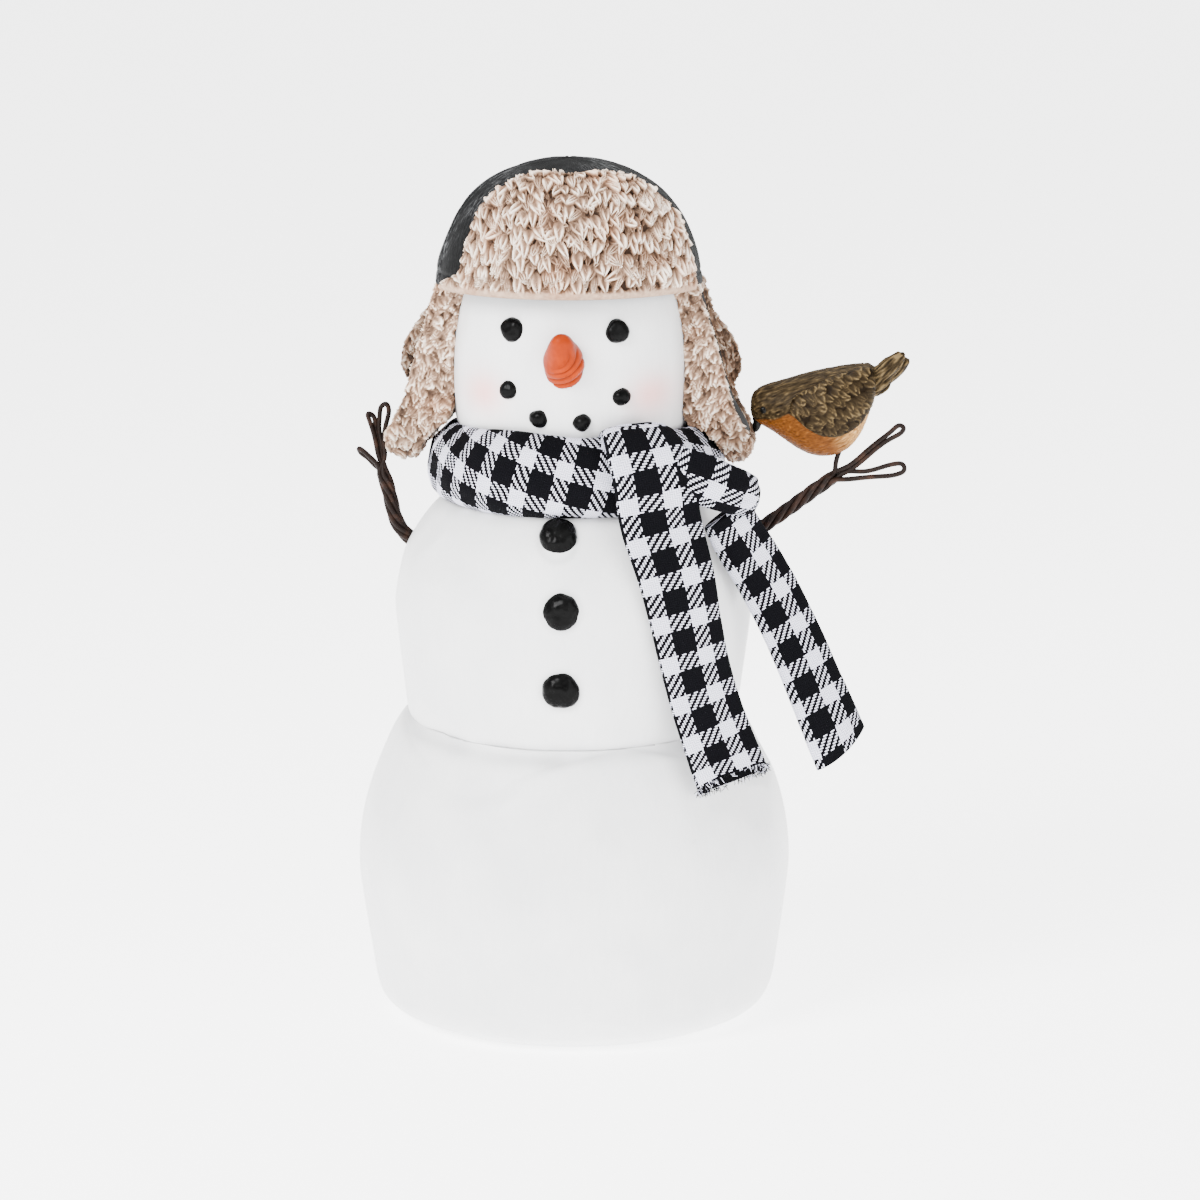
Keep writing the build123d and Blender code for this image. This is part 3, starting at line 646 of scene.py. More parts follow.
# ------------------------------------------------------------------- camera, stage
def stage():
    camera = bpy.data.objects.new("camera", bpy.data.cameras.new("camera"))
    bpy.context.collection.objects.link(camera)
    aim = Vector((0.0072, 0.0009, 0.1167))
    azimuth, elevation, distance = math.radians(5), math.radians(11), 1.4
    level = math.cos(elevation)
    away = Vector((math.sin(azimuth) * level, -math.cos(azimuth) * level, math.sin(elevation)))
    camera.location = aim + away * distance
    camera.rotation_euler = (-away).to_track_quat("-Z", "Y").to_euler()
    camera.data.lens = 150
    camera.data.sensor_width = 36
    bpy.context.scene.camera = camera

    world = bpy.data.worlds.new("studio")
    world.use_nodes = True
    tree = world.node_tree
    tree.nodes["Background"].inputs["Strength"].default_value = WORLD_LIGHT
    bright = tree.nodes.new("ShaderNodeBackground")
    bright.inputs["Strength"].default_value = BACKGROUND
    pick = tree.nodes.new("ShaderNodeMixShader")
    for shade in (tree.nodes["Background"], bright):
        shade.inputs["Color"].default_value = (1, 1, 1, 1)
    tree.links.new(tree.nodes.new("ShaderNodeLightPath").outputs["Is Camera Ray"], pick.inputs[0])
    tree.links.new(tree.nodes["Background"].outputs[0], pick.inputs[1])
    tree.links.new(bright.outputs[0], pick.inputs[2])
    tree.links.new(pick.outputs[0], tree.nodes["World Output"].inputs["Surface"])
    bpy.context.scene.world = world
    lights = [
        ("key", (-0.60, -0.90, 0.85), 0.5, 34.0),
        ("fill", (0.95, -0.80, 0.45), 0.9, 10.0),
        ("top", (0.1, 0.20, 1.1), 0.7, 12.0),
    ]
    for name, position, size, power in lights:
        light = bpy.data.lights.new(name, "AREA")
        light.energy, light.size = power, size
        lamp = bpy.data.objects.new(name, light)
        lamp.location = position
        lamp.rotation_euler = (Vector((0, 0, 0.12)) - Vector(position)).to_track_quat("-Z", "Y").to_euler()
        bpy.context.collection.objects.link(lamp)
    far = 30000
    floor = build("floor", [(-far, -far, 0), (far, -far, 0), (far, far, 0), (-far, far, 0)], [(0, 1, 2, 3)])
    paint = Paint("floor_paint", 0.8, Specular_IOR_Level=0.0, Emission_Strength=FLOOR_GLOW)
    paint.bsdf.inputs["Emission Color"].default_value = (1, 1, 1, 1)
    grain = paint.noise(paint.object_point(), 3)
    floor.data.materials.append(paint.finish(paint.mix(grain, (0.86, 0.86, 0.86), (0.88, 0.88, 0.88))))


# ---------------------------------------------------------------- snowman's balls
def lathe_rings(outline, rows, columns, y=0.0):
    """Rings of points of a turned form, with the outline as (radius, height)."""
    profile = spline(outline, rows)
    turn = circle(columns)
    rings = np.empty((rows, columns, 3))
    rings[..., 0] = profile[:, :1] * np.sin(turn)
    rings[..., 1] = y - profile[:, :1] * np.cos(turn)
    rings[..., 2] = profile[:, 1:]
    return rings


def carve(obj, seed, count, depth, softness, keep):
    """Knife-cut look: broad flats sunk a little into the skin, soft where they meet."""
    rng = np.random.default_rng(seed)
    points, normals = surface_of(obj)
    picks = rng.choice(np.flatnonzero(keep > 0.5), count, replace=False)
    cut = np.zeros(len(points))
    for pick in picks:
        sink = depth * rng.uniform(0.5, 1.2)
        over = (points - points[pick]) @ normals[pick] + sink
        facing = normals @ normals[pick]
        amount = softness * np.log1p(np.exp(np.clip(over / softness, -30, 30)))
        cut = np.maximum(cut, amount * smoothstep(0.78, 0.9, facing))
    cut = np.minimum(cut, depth * 1.5) * keep
    move_points(obj, points - normals * cut[:, None])


def pits(obj, spots, size):
    """Small pinholes of a cast skin."""
    points, normals = surface_of(obj)
    for spot in spots:
        distance = np.linalg.norm(points - np.array(spot), axis=1)
        nearest = points[distance.argmin()]
        hole = bell(np.linalg.norm(points - nearest, axis=1), size)
        points -= normals * (hole * size * 0.9)[:, None]
    move_points(obj, points)


def torso_underside(radius):
    """Height of the torso's rounded underside at a distance from its axis."""
    lower = np.array([(0, 74.0)] + TORSO_OUTLINE[:4])
    return np.interp(radius, lower[:, 0], lower[:, 1])


def snowman_base():
    profile = BASE_OUTLINE + [(24, 91.2), (10, 91.3), (1, 91.3)]
    rings = lathe_rings(profile, 230, 420)
    reach = np.hypot(rings[..., 0], rings[..., 1] - UPPER_Y)
    bowl = np.where(reach < 47.3, torso_underside(reach), 200)
    rings[..., 2] = np.minimum(rings[..., 2], bowl)
    obj = skin("base_ball_cast", rings)
    points = surface_of(obj)[0]
    keep = smoothstep(1.5, 9, points[:, 2]) * smoothstep(86.5, 83, points[:, 2])
    carve(obj, 11, 80, 0.60, 0.13, keep)
    points = surface_of(obj)[0]
    # Painted shade: a grey band in the crease where the torso sits on the base, and the very bottom painted
    # darker where the ball meets the floor; a little random tone is mixed in.
    near_seam = np.abs(np.hypot(points[:, 0], points[:, 1] - UPPER_Y) - SEAM_RADIUS)
    painted_shade = bell(near_seam, 1.3) * (points[:, 2] > 78) * (0.55 + 0.45 * sample(points, 9))
    low = 0.35 * np.exp(-points[:, 2] / 1.6)
    set_attribute(obj, "painted_shade", painted_shade * 0.55 + low + 0.06 * sample(points, 14))
    pits(obj, [(-8, -60, 45), (38, -46, 60), (50, -30, 66), (20, -57, 30), (-30, -50, 70), (-20, 55, 40)], 0.35)
    place(obj, "figure", "body_white", "base_ball")


def snowman_torso():
    profile = [(1, 73.9)] + TORSO_OUTLINE + [(12, 157.6), (1, 157.6)]
    obj = skin("torso_cast", lathe_rings(profile, 210, 400, UPPER_Y))
    keep = smoothstep(82, 86, surface_of(obj)[0][:, 2])
    carve(obj, 23, 80, 0.55, 0.13, keep)
    points = surface_of(obj)[0]
    # Painted shade: a grey band along the crease over the base, a darker band just under the scarf and a grey
    # ring round each button, like their shadows; a little random tone is mixed in.
    crease = 84.5 + 2.4 * smoothstep(-50, 50, points[:, 1])
    painted_shade = bell(points[:, 2] - crease, 1.2) * (0.5 + 0.5 * sample(points, 7))
    scarf = 0.45 * smoothstep(143, 148, points[:, 2])
    for x, z in BUTTONS.values():
        ring = np.hypot(points[:, 0] - x, points[:, 2] - z) - BUTTON_RADIUS
        painted_shade = painted_shade + 0.5 * bell(ring, 0.9) * (points[:, 1] < 0)
    set_attribute(obj, "painted_shade", painted_shade * 0.5 + scarf + 0.05 * sample(points, 12))
    pits(obj, [(-30, -40, 105), (35, -37, 92), (-46, -12, 120), (12, 44, 118)], 0.3)
    place(obj, "figure", "body_white", "torso_ball")


def snowman_head():
    profile = [(1, 157.4)] + HEAD_OUTLINE + [(4, 223.0), (0.6, 223.0)]
    obj = skin("head_cast", lathe_rings(profile, 190, 360, UPPER_Y))
    keep = smoothstep(158, 162, surface_of(obj)[0][:, 2])
    carve(obj, 37, 60, 0.32, 0.13, keep)
    points = surface_of(obj)[0]
    # Painted shade: grey under the brim, at the sides beside the ear flaps and just above the scarf; a little
    # random tone is mixed in.
    under_brim_shade = 0.5 * smoothstep(203.5, 207.5, points[:, 2])
    sides = 0.4 * smoothstep(28, 33, np.abs(points[:, 0])) * (points[:, 1] < 0)
    scarf = 0.35 * smoothstep(171, 166, points[:, 2])
    painted_shade = np.maximum(np.maximum(under_brim_shade, sides), scarf) + 0.05 * sample(points, 8)
    set_attribute(obj, "painted_shade", painted_shade)
    blush = np.zeros(len(points))
    for x in BLUSH_PLACES:
        away = np.hypot(points[:, 0] - x, points[:, 2] - BLUSH_HEIGHT)
        blush = np.maximum(blush, bell(away, BLUSH_SIZE))
    set_attribute(obj, "blush", blush * (points[:, 1] < 0))
    place(obj, "figure", "body_white", "head")


# ---------------------------------------------------------------- coal, nose
def lumps():
    pieces = ["eye_left", "eye_right", "mouth_coal_1", "mouth_coal_2", "mouth_coal_3", "mouth_coal_4", *BUTTONS]
    for index, node in enumerate(pieces):
        obj = from_node(node + "_lump", node, 0.22, 3)
        points, normals = surface_of(obj)
        big = sample(points, 3.2, index * 7.3)
        small = sample(points, 1.2, index * 3.1)
        points += normals * (big * 0.42 + small * 0.10)[:, None]
        if node == "button_top":
            points += (0, 0.6, 1.3)
        move_points(obj, points)
        place(obj, "figure", "coal_black", node)


def nose():
    obj = from_node("nose_lump", "nose_carrot", 0.22, 5)
    points, normals = surface_of(obj)
    middle = (points.min(axis=0) + points.max(axis=0)) / 2
    x, z = points[:, 0] - middle[0], points[:, 2] - middle[2]
    wobble = sample(points, 4.5, 5.0)
    away = np.hypot(x + 2.0, z - 2.5) + wobble * 0.5
    where = smoothstep(3.2, 5.5, away) * smoothstep(-2.5, 2.0, x - 0.7 * z) * smoothstep(4.5, 2.0, z)
    groove = bell(away % 1.7 - 0.85, 0.28) * where
    points += normals * (wobble * 0.28 - groove * 0.32)[:, None]
    move_points(obj, points)
    set_attribute(obj, "relief", 0.55 + 0.12 * wobble - 0.45 * groove + 0.15 * where)
    place(obj, "figure", "carrot_orange", "nose_carrot")


# ---------------------------------------------------------------- hat
def hat_frame(profile_points, turn):
    """Points and normals of the crown for rows of its outline and an array of turns."""
    tangent = unit(np.gradient(profile_points, axis=0))
    out = np.stack([tangent[:, 1], -tangent[:, 0]], axis=1)
    r, z = profile_points[:, :1], profile_points[:, 1:]
    x, y = np.sin(turn), -np.cos(turn)
    points = np.stack([HAT_X + r * x, UPPER_Y + r * y, z + 0 * x], axis=-1)
    normals = np.stack([out[:, :1] * x, out[:, :1] * y, out[:, 1:] + 0 * x], axis=-1)
    return points, normals


def crown():
    rows, columns = 150, 480
    corner = np.linspace((31.2, CROWN_FOOT + 0.3), (36.8, CROWN_FOOT), 12)
    profile = np.vstack([corner, spline(CROWN_OUTLINE, rows - 12)])
    turn = np.tile(circle(columns), (rows, 1))
    points, normals = hat_frame(profile, turn)
    relief = np.zeros((rows, columns))
    for seam in np.radians(CROWN_SEAMS):
        gap = np.angle(np.exp(1j * (turn - seam))) * np.maximum(profile[:, :1], 4)
        relief += 0.9 * bell(np.abs(gap) - 1.1, 0.6) - bell(gap, 0.45)
    relief -= 0.9 * bell(profile[:, 1:] - CROWN_FOOT - CROWN_HEM, 0.5) * (profile[:, :1] > 35)
    lumpy = sample(points, 14, 2.0) * 0.35 + sample(points, 5, 9.0) * 0.15 - 0.2
    points = points + normals * ((relief * 0.35 + lumpy)[..., None])
    obj = skin("hat_crown_cast", points, lengths(profile), np.linspace(0, 2 * math.pi * 37, columns + 1))
    set_attribute(obj, "relief", np.append(relief.ravel(), [0, 0]))
    place(obj, "figure", "hat_charcoal", "hat_crown")


def brim():
    outline = spline(CROWN_OUTLINE, 400)
    stop = np.argmin(np.abs(outline[:, 0] - BRIM_SIDES[-1][0]))
    rows, columns = 260, 400
    profile = spline(outline[:stop:12], rows)
    down = lengths(profile)[:, None]
    radii, left, right = np.array(BRIM_SIDES[::-1], float).T
    u = np.linspace(0, 1, columns)[None, :]
    low = -np.interp(profile[:, :1], radii, left)
    high = np.interp(profile[:, :1], radii, right)
    turn = np.radians(low + (high - low) * u)
    points, normals = hat_frame(profile, turn)
    radius = profile[:, :1]
    a = (turn - math.radians(BRIM_MIDDLE)) * np.maximum(radius, 22)
    b = down + 0 * a
    tufts = tuft_field(a, b, (2.6, 5.0), 2.9, 5, spread=22)
    tufts = np.maximum(tufts, 0.6 * tuft_field(a, b, (1.8, 3.2), 2.2, 6, spread=30))
    fine = sample(np.stack([a, b, 0 * a], -1), (0.9, 1.6, 1), 3.0)
    swell = sample(np.stack([a, b, 0 * a], -1), (7, 8, 1), 5.0)
    to_side = np.minimum(turn - np.radians(low), np.radians(high) - turn) * (radius + 3)
    lip = clamp(down / 1.1)
    edge = dome(np.minimum(to_side, down[-1] - down) / 2.0) * dome(lip)
    hem = 1 - smoothstep(1.0, 2.2, b)
    relief = tufts * (1 - hem) + 0.42 * hem
    rise = 0.15 + edge * (BRIM_THICKNESS - BRIM_TUFTS - 0.2 + relief * BRIM_TUFTS + fine * 0.12 + swell * 0.35)
    front = points + normals * rise[..., None]
    front[..., 2] -= 0.5 * (1 - lip)
    back = points + normals * 0.1
    verts = np.vstack([front.reshape(-1, 3), back.reshape(-1, 3)])
    faces = []
    half = rows * columns
    for i in range(rows - 1):
        for j in range(columns - 1):
            k = i * columns + j
            faces.append((k, k + 1, k + columns + 1, k + columns))
            faces.append((half + k + columns, half + k + columns + 1, half + k + 1, half + k))
    for j in range(columns - 1):
        k = (rows - 1) * columns + j
        faces.append((j + 1, j, half + j, half + j + 1))
        faces.append((k, k + 1, half + k + 1, half + k))
    for i in range(rows - 1):
        k, m = i * columns, i * columns + columns - 1
        faces.append((k, k + columns, half + k + columns, half + k))
        faces.append((m + columns, m, half + m, half + m + columns))
    obj = build("brim_fine", verts, faces)
    tone = clamp(toned(relief, 0.51, 0.27) + fine * 0.06).ravel()
    set_attribute(obj, "relief", np.concatenate([tone, tone * 0.3]))
    obj = baked(obj, "hat_brim_fleece", [("DECIMATE", {"ratio": 0.46})])
    place(obj, "figure", "fleece_cream", "hat_brim")


def outline_of(mesh):
    """Corners and faces of a mesh, in metres."""
    return [v.co.copy() for v in mesh.vertices], [tuple(f.vertices) for f in mesh.polygons]


def crumpled(name, node, seed):
    """Fleece of a flap: small crooked tufts, as pinched into soft clay."""
    obj = from_node(name, node, 0.38, 7)
    points, normals = surface_of(obj)
    warp = np.stack([sample(points, 4.0, seed + k * 11) for k in range(3)], axis=-1) * 1.2
    x, y, z = (points + warp).T
    broad = smoothstep(0.25, 0.75, np.abs(normals[:, 0]))
    relief = 0
    for share, across, start in ((1 - broad, x, 0), (broad, y, 7)):
        tufts = tuft_field(across, z, (2.3, 4.2), 2.3, int(seed) + start, spread=32)
        small = tuft_field(across, z, (1.5, 2.4), 1.7, int(seed) + start + 3, spread=45)
        relief = relief + share * np.maximum(tufts, 0.65 * small)
    fine = sample(points, 1.1, seed + 5)
    rise = (relief - 0.2) * 1.7 + fine * 0.12
    cover = BVHTree.FromPolygons(*outline_of(frame["nodes"][node.replace("fleece", "cover")].data))
    gap = np.array([cover.find_nearest(point)[3] for point in points * MM]) / MM
    hidden = smoothstep(1.5, 0.3, gap)
    points = points + normals * (rise * (1 - hidden) - 0.6 * hidden)[:, None]
    move_points(obj, points)
    set_attribute(obj, "relief", toned(relief, 0.46, 0.25) + fine * 0.1)
    # Painted shade: the back of each flap and its outer, lower edges are painted greyer and darker, with a
    # little random spread.
    behind = smoothstep(-16, 4, points[:, 1]) * 0.75
    edge_shade = smoothstep(42, 50, np.abs(points[:, 0]) + (190 - points[:, 2]) * 0.1) * 0.5
    flap_shade = np.maximum(behind, edge_shade)
    set_attribute(obj, "flap_shade", flap_shade * (0.8 + 0.4 * sample(points, 5, seed)))
    place(obj, "figure", "fleece_cream", node)


def covers():
    for node in ("ear_flap_left_cover", "ear_flap_right_cover", "neck_flap_cover"):
        obj = from_node(node + "_cast", node, 0.4, 3)
        points, normals = surface_of(obj)
        lumpy = sample(points, 8, 4.0) * 0.25
        middle = points.mean(axis=0)
        points = points + normals * lumpy[:, None]
        if "ear" in node:  # sunk between the rims of the fleece
            points = middle + (points - middle) * np.array([1, 0.84, 0.96])
            points[:, 0] -= 0.9 * np.sign(middle[0])
        move_points(obj, points)
        set_attribute(obj, "relief", sample(points, (2, 2, 9), 1.0) * 0.5)
        place(obj, "figure", "hat_charcoal", node)


# ---------------------------------------------------------------- scarf
def cloth_frame(turn):
    angle = math.radians(turn)
    across = np.array([math.cos(angle), math.sin(angle), 0])
    outward = np.array([math.sin(angle), -math.cos(angle), 0])
    return across, outward


def strip_rings(stations, turn, widths, thickness, rows, columns):
    """Flattened sewn tube along stations of (height, shift, distance), as rings of points."""
    puff = np.interp(np.linspace(0, 1, rows), [0, 0.9, 1], [1, 1, thickness[1] / thickness[0]])[:, None]
    across, outward = cloth_frame(turn)
    centres = np.array([np.array([0, UPPER_Y, z]) + across * s + outward * d for z, s, d in stations])
    line = spline(centres, rows)
    run = unit(np.gradient(line, axis=0))
    broad = unit(across - run * (run @ across)[:, None])
    face = np.cross(broad, run)
    face *= np.sign(face @ outward)[:, None] if abs((face @ outward).mean()) > 0.2 else 1
    phase = circle(columns)
    shape_x = np.sign(np.cos(phase)) * np.abs(np.cos(phase)) ** 0.62
    shape_y = np.sign(np.sin(phase)) * np.abs(np.sin(phase)) ** 0.85
    share = np.linspace(0, 1, rows)
    half_width = np.interp(share, np.linspace(0, 1, len(widths)), widths)[:, None] / 2
    return tube(line, broad, face, half_width * shape_x, thickness[0] / 2 * puff * shape_y), face, line


def hollow_end(rings, depth, wall):
    """Turns the last ring inwards, so that the tube's end is open."""
    step = np.linalg.norm(rings[-1].mean(axis=0) - rings[-2].mean(axis=0))
    count = max(int(depth / step), 3)
    inner = []
    for k in range(count):
        ring = rings[-1 - k]
        middle = ring.mean(axis=0)
        radial = ring - middle
        inner.append(middle + radial * (1 - wall / np.maximum(np.linalg.norm(radial, axis=1), wall))[:, None])
    return np.concatenate([rings, np.array(inner)])


def slanted_end(rings, length, shift):
    """Moves the last rings along the strip, by millimetres for places -1 to 1 across and through it."""
    line = rings.mean(axis=1)
    run = unit(np.gradient(line, axis=0))
    share = smoothstep(length, 0, lengths(line)[-1] - lengths(line))
    last = rings[-1] - line[-1]
    width = np.linalg.norm(last, axis=1)
    broad = unit(last[width.argmax()] * np.sign(last[width.argmax()][0]))
    through = unit(np.cross(run[-1], broad))
    through *= -np.sign(through[1])
    across = (last @ broad) / np.abs(last @ broad).max()
    out = (last @ through) / np.abs(last @ through).max()
    return rings + run[:, None, :] * (share[:, None] * shift(across, out))[..., None]


def wrinkle(rings, face, seed, amount, stretch):
    """Soft buckles across the cloth."""
    push = sample(rings, stretch, seed) * amount + sample(rings, 3.2, seed + 9) * amount * 0.25
    return rings + face[:, None, :] * push[..., None]


def scarf_wrap():
    columns, section_points = 420, 110
    section = spline(WRAP_SECTION + WRAP_SECTION[:1], section_points + 1)[:-1]
    turn = math.radians(30) + circle(columns)
    r, z = section[None, :, 0], section[None, :, 1]
    azimuth = turn[:, None] + 0 * r
    high = smoothstep(154, 168, z)
    from_chin = np.angle(np.exp(1j * (azimuth - 0.15)))
    tilt = (1.6 * np.cos(azimuth + math.radians(25)) - 1.2 * bell(from_chin, 0.3)) * high
    flat = np.stack([r * np.sin(azimuth), UPPER_Y - r * np.cos(azimuth), z + tilt], axis=-1)
    out = np.stack([np.sin(azimuth), -np.cos(azimuth), 0 * azimuth], axis=-1)
    along = azimuth * 42
    slanted = np.stack([along + z * 0.9, z - along * 0.05, 0 * along], axis=-1)
    left = smoothstep(0.35, 1.0, -np.sin(azimuth))
    flat[..., 0] += 2.2 * left
    flat[..., 2] -= 1.2 * left * high
    folds = sample(slanted, (16, 5, 1), 3.0) * 0.9 + sample(flat, 4.5, 8.0) * 0.3 - 0.9
    rings = flat + out * folds[..., None]
    u = np.linspace(0, 2 * math.pi * 42.5, columns + 1)
    v = lengths(np.vstack([section, section[:1]]))
    obj = skin("scarf_wrap_cloth", rings, u[:-1], v, closed=True)
    uv = np.zeros(len(obj.data.loops) * 2)
    obj.data.uv_layers[0].data.foreach_get("uv", uv)
    uv = np.stack(turned(*uv.reshape(-1, 2).T, -15), axis=1)
    obj.data.uv_layers[0].data.foreach_set("uv", uv.astype(np.float32).ravel())
    place(obj, "figure", "scarf_check", "scarf_wrap")
    return obj


def scarf_front():
    stations = CROSSOVER_STATIONS + FRONT_TAIL_STATIONS
    widths = [19, 23.5, 24, 23.6, 22, 20.5, 20, 20, 20.5, 21]
    rings, face, line = strip_rings(stations, FRONT_TURN, widths, (4.4, 7.0), 330, 90)
    rings = wrinkle(rings, face, 21, 0.55, (9, 9, 14))
    rings = slanted_end(rings, 12, lambda across, out: 1.2 * across - 2.2 * out)
    fray_ring = rings[-1]
    rings = hollow_end(rings, 9, 0.6)
    obj = skin("scarf_front_cloth", rings, check=(-0.55, 10.55, -1))
    # Painted shade: the turned-in rings at the open end are marked to be painted near black, for the shade
    # inside the tube.
    inside = np.zeros(len(obj.data.vertices))
    inside[len(line) * 90 :] = 1
    set_attribute(obj, "inside", inside)
    bend = at_height(line, 152.5), at_height(line, 143.5)
    place(obj, ("figure", "front_tail", *bend), "scarf_check", "scarf_crossover", "scarf_front_tail")
    fray = frays("scarf_front_fray", fray_ring, unit(line[-1] - line[-4]), 300, 4)
    place(fray, "front_tail", "scarf_check")
    return obj, fray, lengths(line)[-1]


def scarf_side():
    widths = [15, 16.5, 17, 17.2, 18, 18.6]
    rings, face, line = strip_rings(SIDE_TAIL_STATIONS, SIDE_TURN, widths, (4.4, 3.0), 240, 90)
    rings = wrinkle(rings, face, 33, 0.5, (9, 9, 15))
    rings = slanted_end(rings, 14, lambda across, out: 1.4 * (1 - across**2) - 2.2 * across)
    rings = hollow_end(rings, 5, 0.6)
    obj = skin("scarf_side_cloth", rings, check=(8.3, 9.8, -1))
    bend = at_height(line, 146), at_height(line, 138)
    place(obj, ("figure", "side_tail", *bend), "scarf_check", "scarf_side_tail")
    return obj, lengths(line)[-1]


def frays(name, ring, out, count, seed):
    """Loose thread ends along a cut edge."""
    rng = np.random.default_rng(seed)
    verts, faces, uv = [], [], []
    for _ in range(count):
        k = rng.integers(len(ring))
        radius = THREAD * 0.25
        path = [ring[k]]
        heading = unit(out + rng.normal(0, 0.35, 3))
        for _ in range(4):
            heading = unit(heading + rng.normal(0, 0.35, 3))
            path.append(path[-1] + heading * rng.uniform(0.25, 0.65))
        side = unit(np.cross(heading, (0.3, 0.5, 0.8)))
        up = np.cross(side, heading)
        base = len(verts)
        for step, point in enumerate(path):
            thin = radius * (1 - 0.15 * step)
            for c in range(4):
                angle = c * math.pi / 2
                verts.append(point + (side * math.cos(angle) + up * math.sin(angle)) * thin)
        tone = (rng.random() < 0.7) * STRIPE_THREADS * THREAD + 1.0
        for step in range(4):
            for c in range(4):
                a = base + step * 4 + c
                b = base + step * 4 + (c + 1) % 4
                faces.append((a, b, b + 4, a + 4))
                uv += [(tone, tone)] * 4
        faces.append((base + 3, base + 2, base + 1, base))
        faces.append((base + 16, base + 17, base + 18, base + 19))
        uv += [(tone, tone)] * 8
    return build(name, verts, faces, np.array(uv) * MM)


def scarf_knot():
    """Loop of the scarf bulging out beside the front strip and turning under."""
    path = spline(KNOT_PATH, 130)
    run = unit(np.gradient(path, axis=0))
    upright = np.array([0.25, 0, 1.0])
    up = unit(upright - run * (run @ upright)[:, None])
    out = np.cross(up, run)
    share = np.linspace(0, 1, len(path))[:, None]
    tall = np.interp(share, [0, 0.3, 0.6, 0.8, 1], [7.0, 7.0, 6.4, 5.6, 3.5])
    thick = np.interp(share, [0, 0.5, 0.8, 1], [2.2, 3.2, 3.4, 2.5])
    phase = circle(90)[None, :]
    rings = tube(path, up, out, tall * np.cos(phase), thick * np.sin(phase))
    rings = wrinkle(rings, out, 51, 0.9, (5, 5, 3.2))
    obj = skin("scarf_knot_cloth", rings, check=(2.0, 3.0, -1))
    place(obj, "figure", "scarf_check", "scarf_knot")
    return obj


# ---------------------------------------------------------------- wires
def wire_tube(points, rows, thick_until):
    """Rings of a round wire along a smooth line through points, squashed thicker in the shaft."""
    line = spline(points, rows)
    run = unit(np.gradient(line, axis=0))
    side = np.zeros_like(run)
    side[0] = unit(np.cross(run[0], (0.2, 1.0, 0.1)))
    for i in range(1, len(run)):
        side[i] = unit(side[i - 1] - run[i] * (side[i - 1] @ run[i]))
    up = np.cross(run, side)
    phase = circle(12)[None, :]
    in_shaft = smoothstep(thick_until + 2, thick_until - 2, line[:, 2:])
    thick = WIRE_RADIUS + (SHAFT_WIRE_RADIUS - WIRE_RADIUS) * in_shaft
    return tube(line, side, up, thick * np.cos(phase), thick * np.sin(phase))


def strand(centre, ring_radius, angle, turns):
    """One strand of a twisted shaft: a helix about the shaft's line."""
    run = unit(np.gradient(centre, axis=0))
    side = unit(np.cross(run, (0, 1.0, 0)))
    depth = np.cross(side, run)
    phase = angle + 2 * math.pi * turns * np.linspace(0, 1, len(centre)) ** 0.9
    return centre + ring_radius * (side * np.cos(phase)[:, None] + depth * np.sin(phase)[:, None])


def arm(body, shaft, fingers, bend, strands, ring_radius, turns, phase):
    """Twisted arm: each folded wire runs up the shaft, out to a fingertip and back down.

    Every point's middle number is its distance behind the torso's own middle plane.
    """
    centre = spline(shaft, 60)
    start, end = (Vector(point) * MM + Vector((0, UPPER_Y, 0)) * MM for point in bend)
    for index, (name, nodes, out, back) in enumerate(fingers):
        first = strand(centre, ring_radius, phase + 4 * math.pi * index / strands, turns)[::2]
        last = strand(centre, ring_radius, phase + 2 * math.pi * (2 * index + 1) / strands, turns)[::-2]
        points = np.vstack([first, out, back, last] if back else [first, out]) + (0, UPPER_Y, 0)
        obj = skin(name, wire_tube(points, 520, shaft[-1][2]))
        place(obj, ("figure", body, start, end), "wire_brown", *nodes)


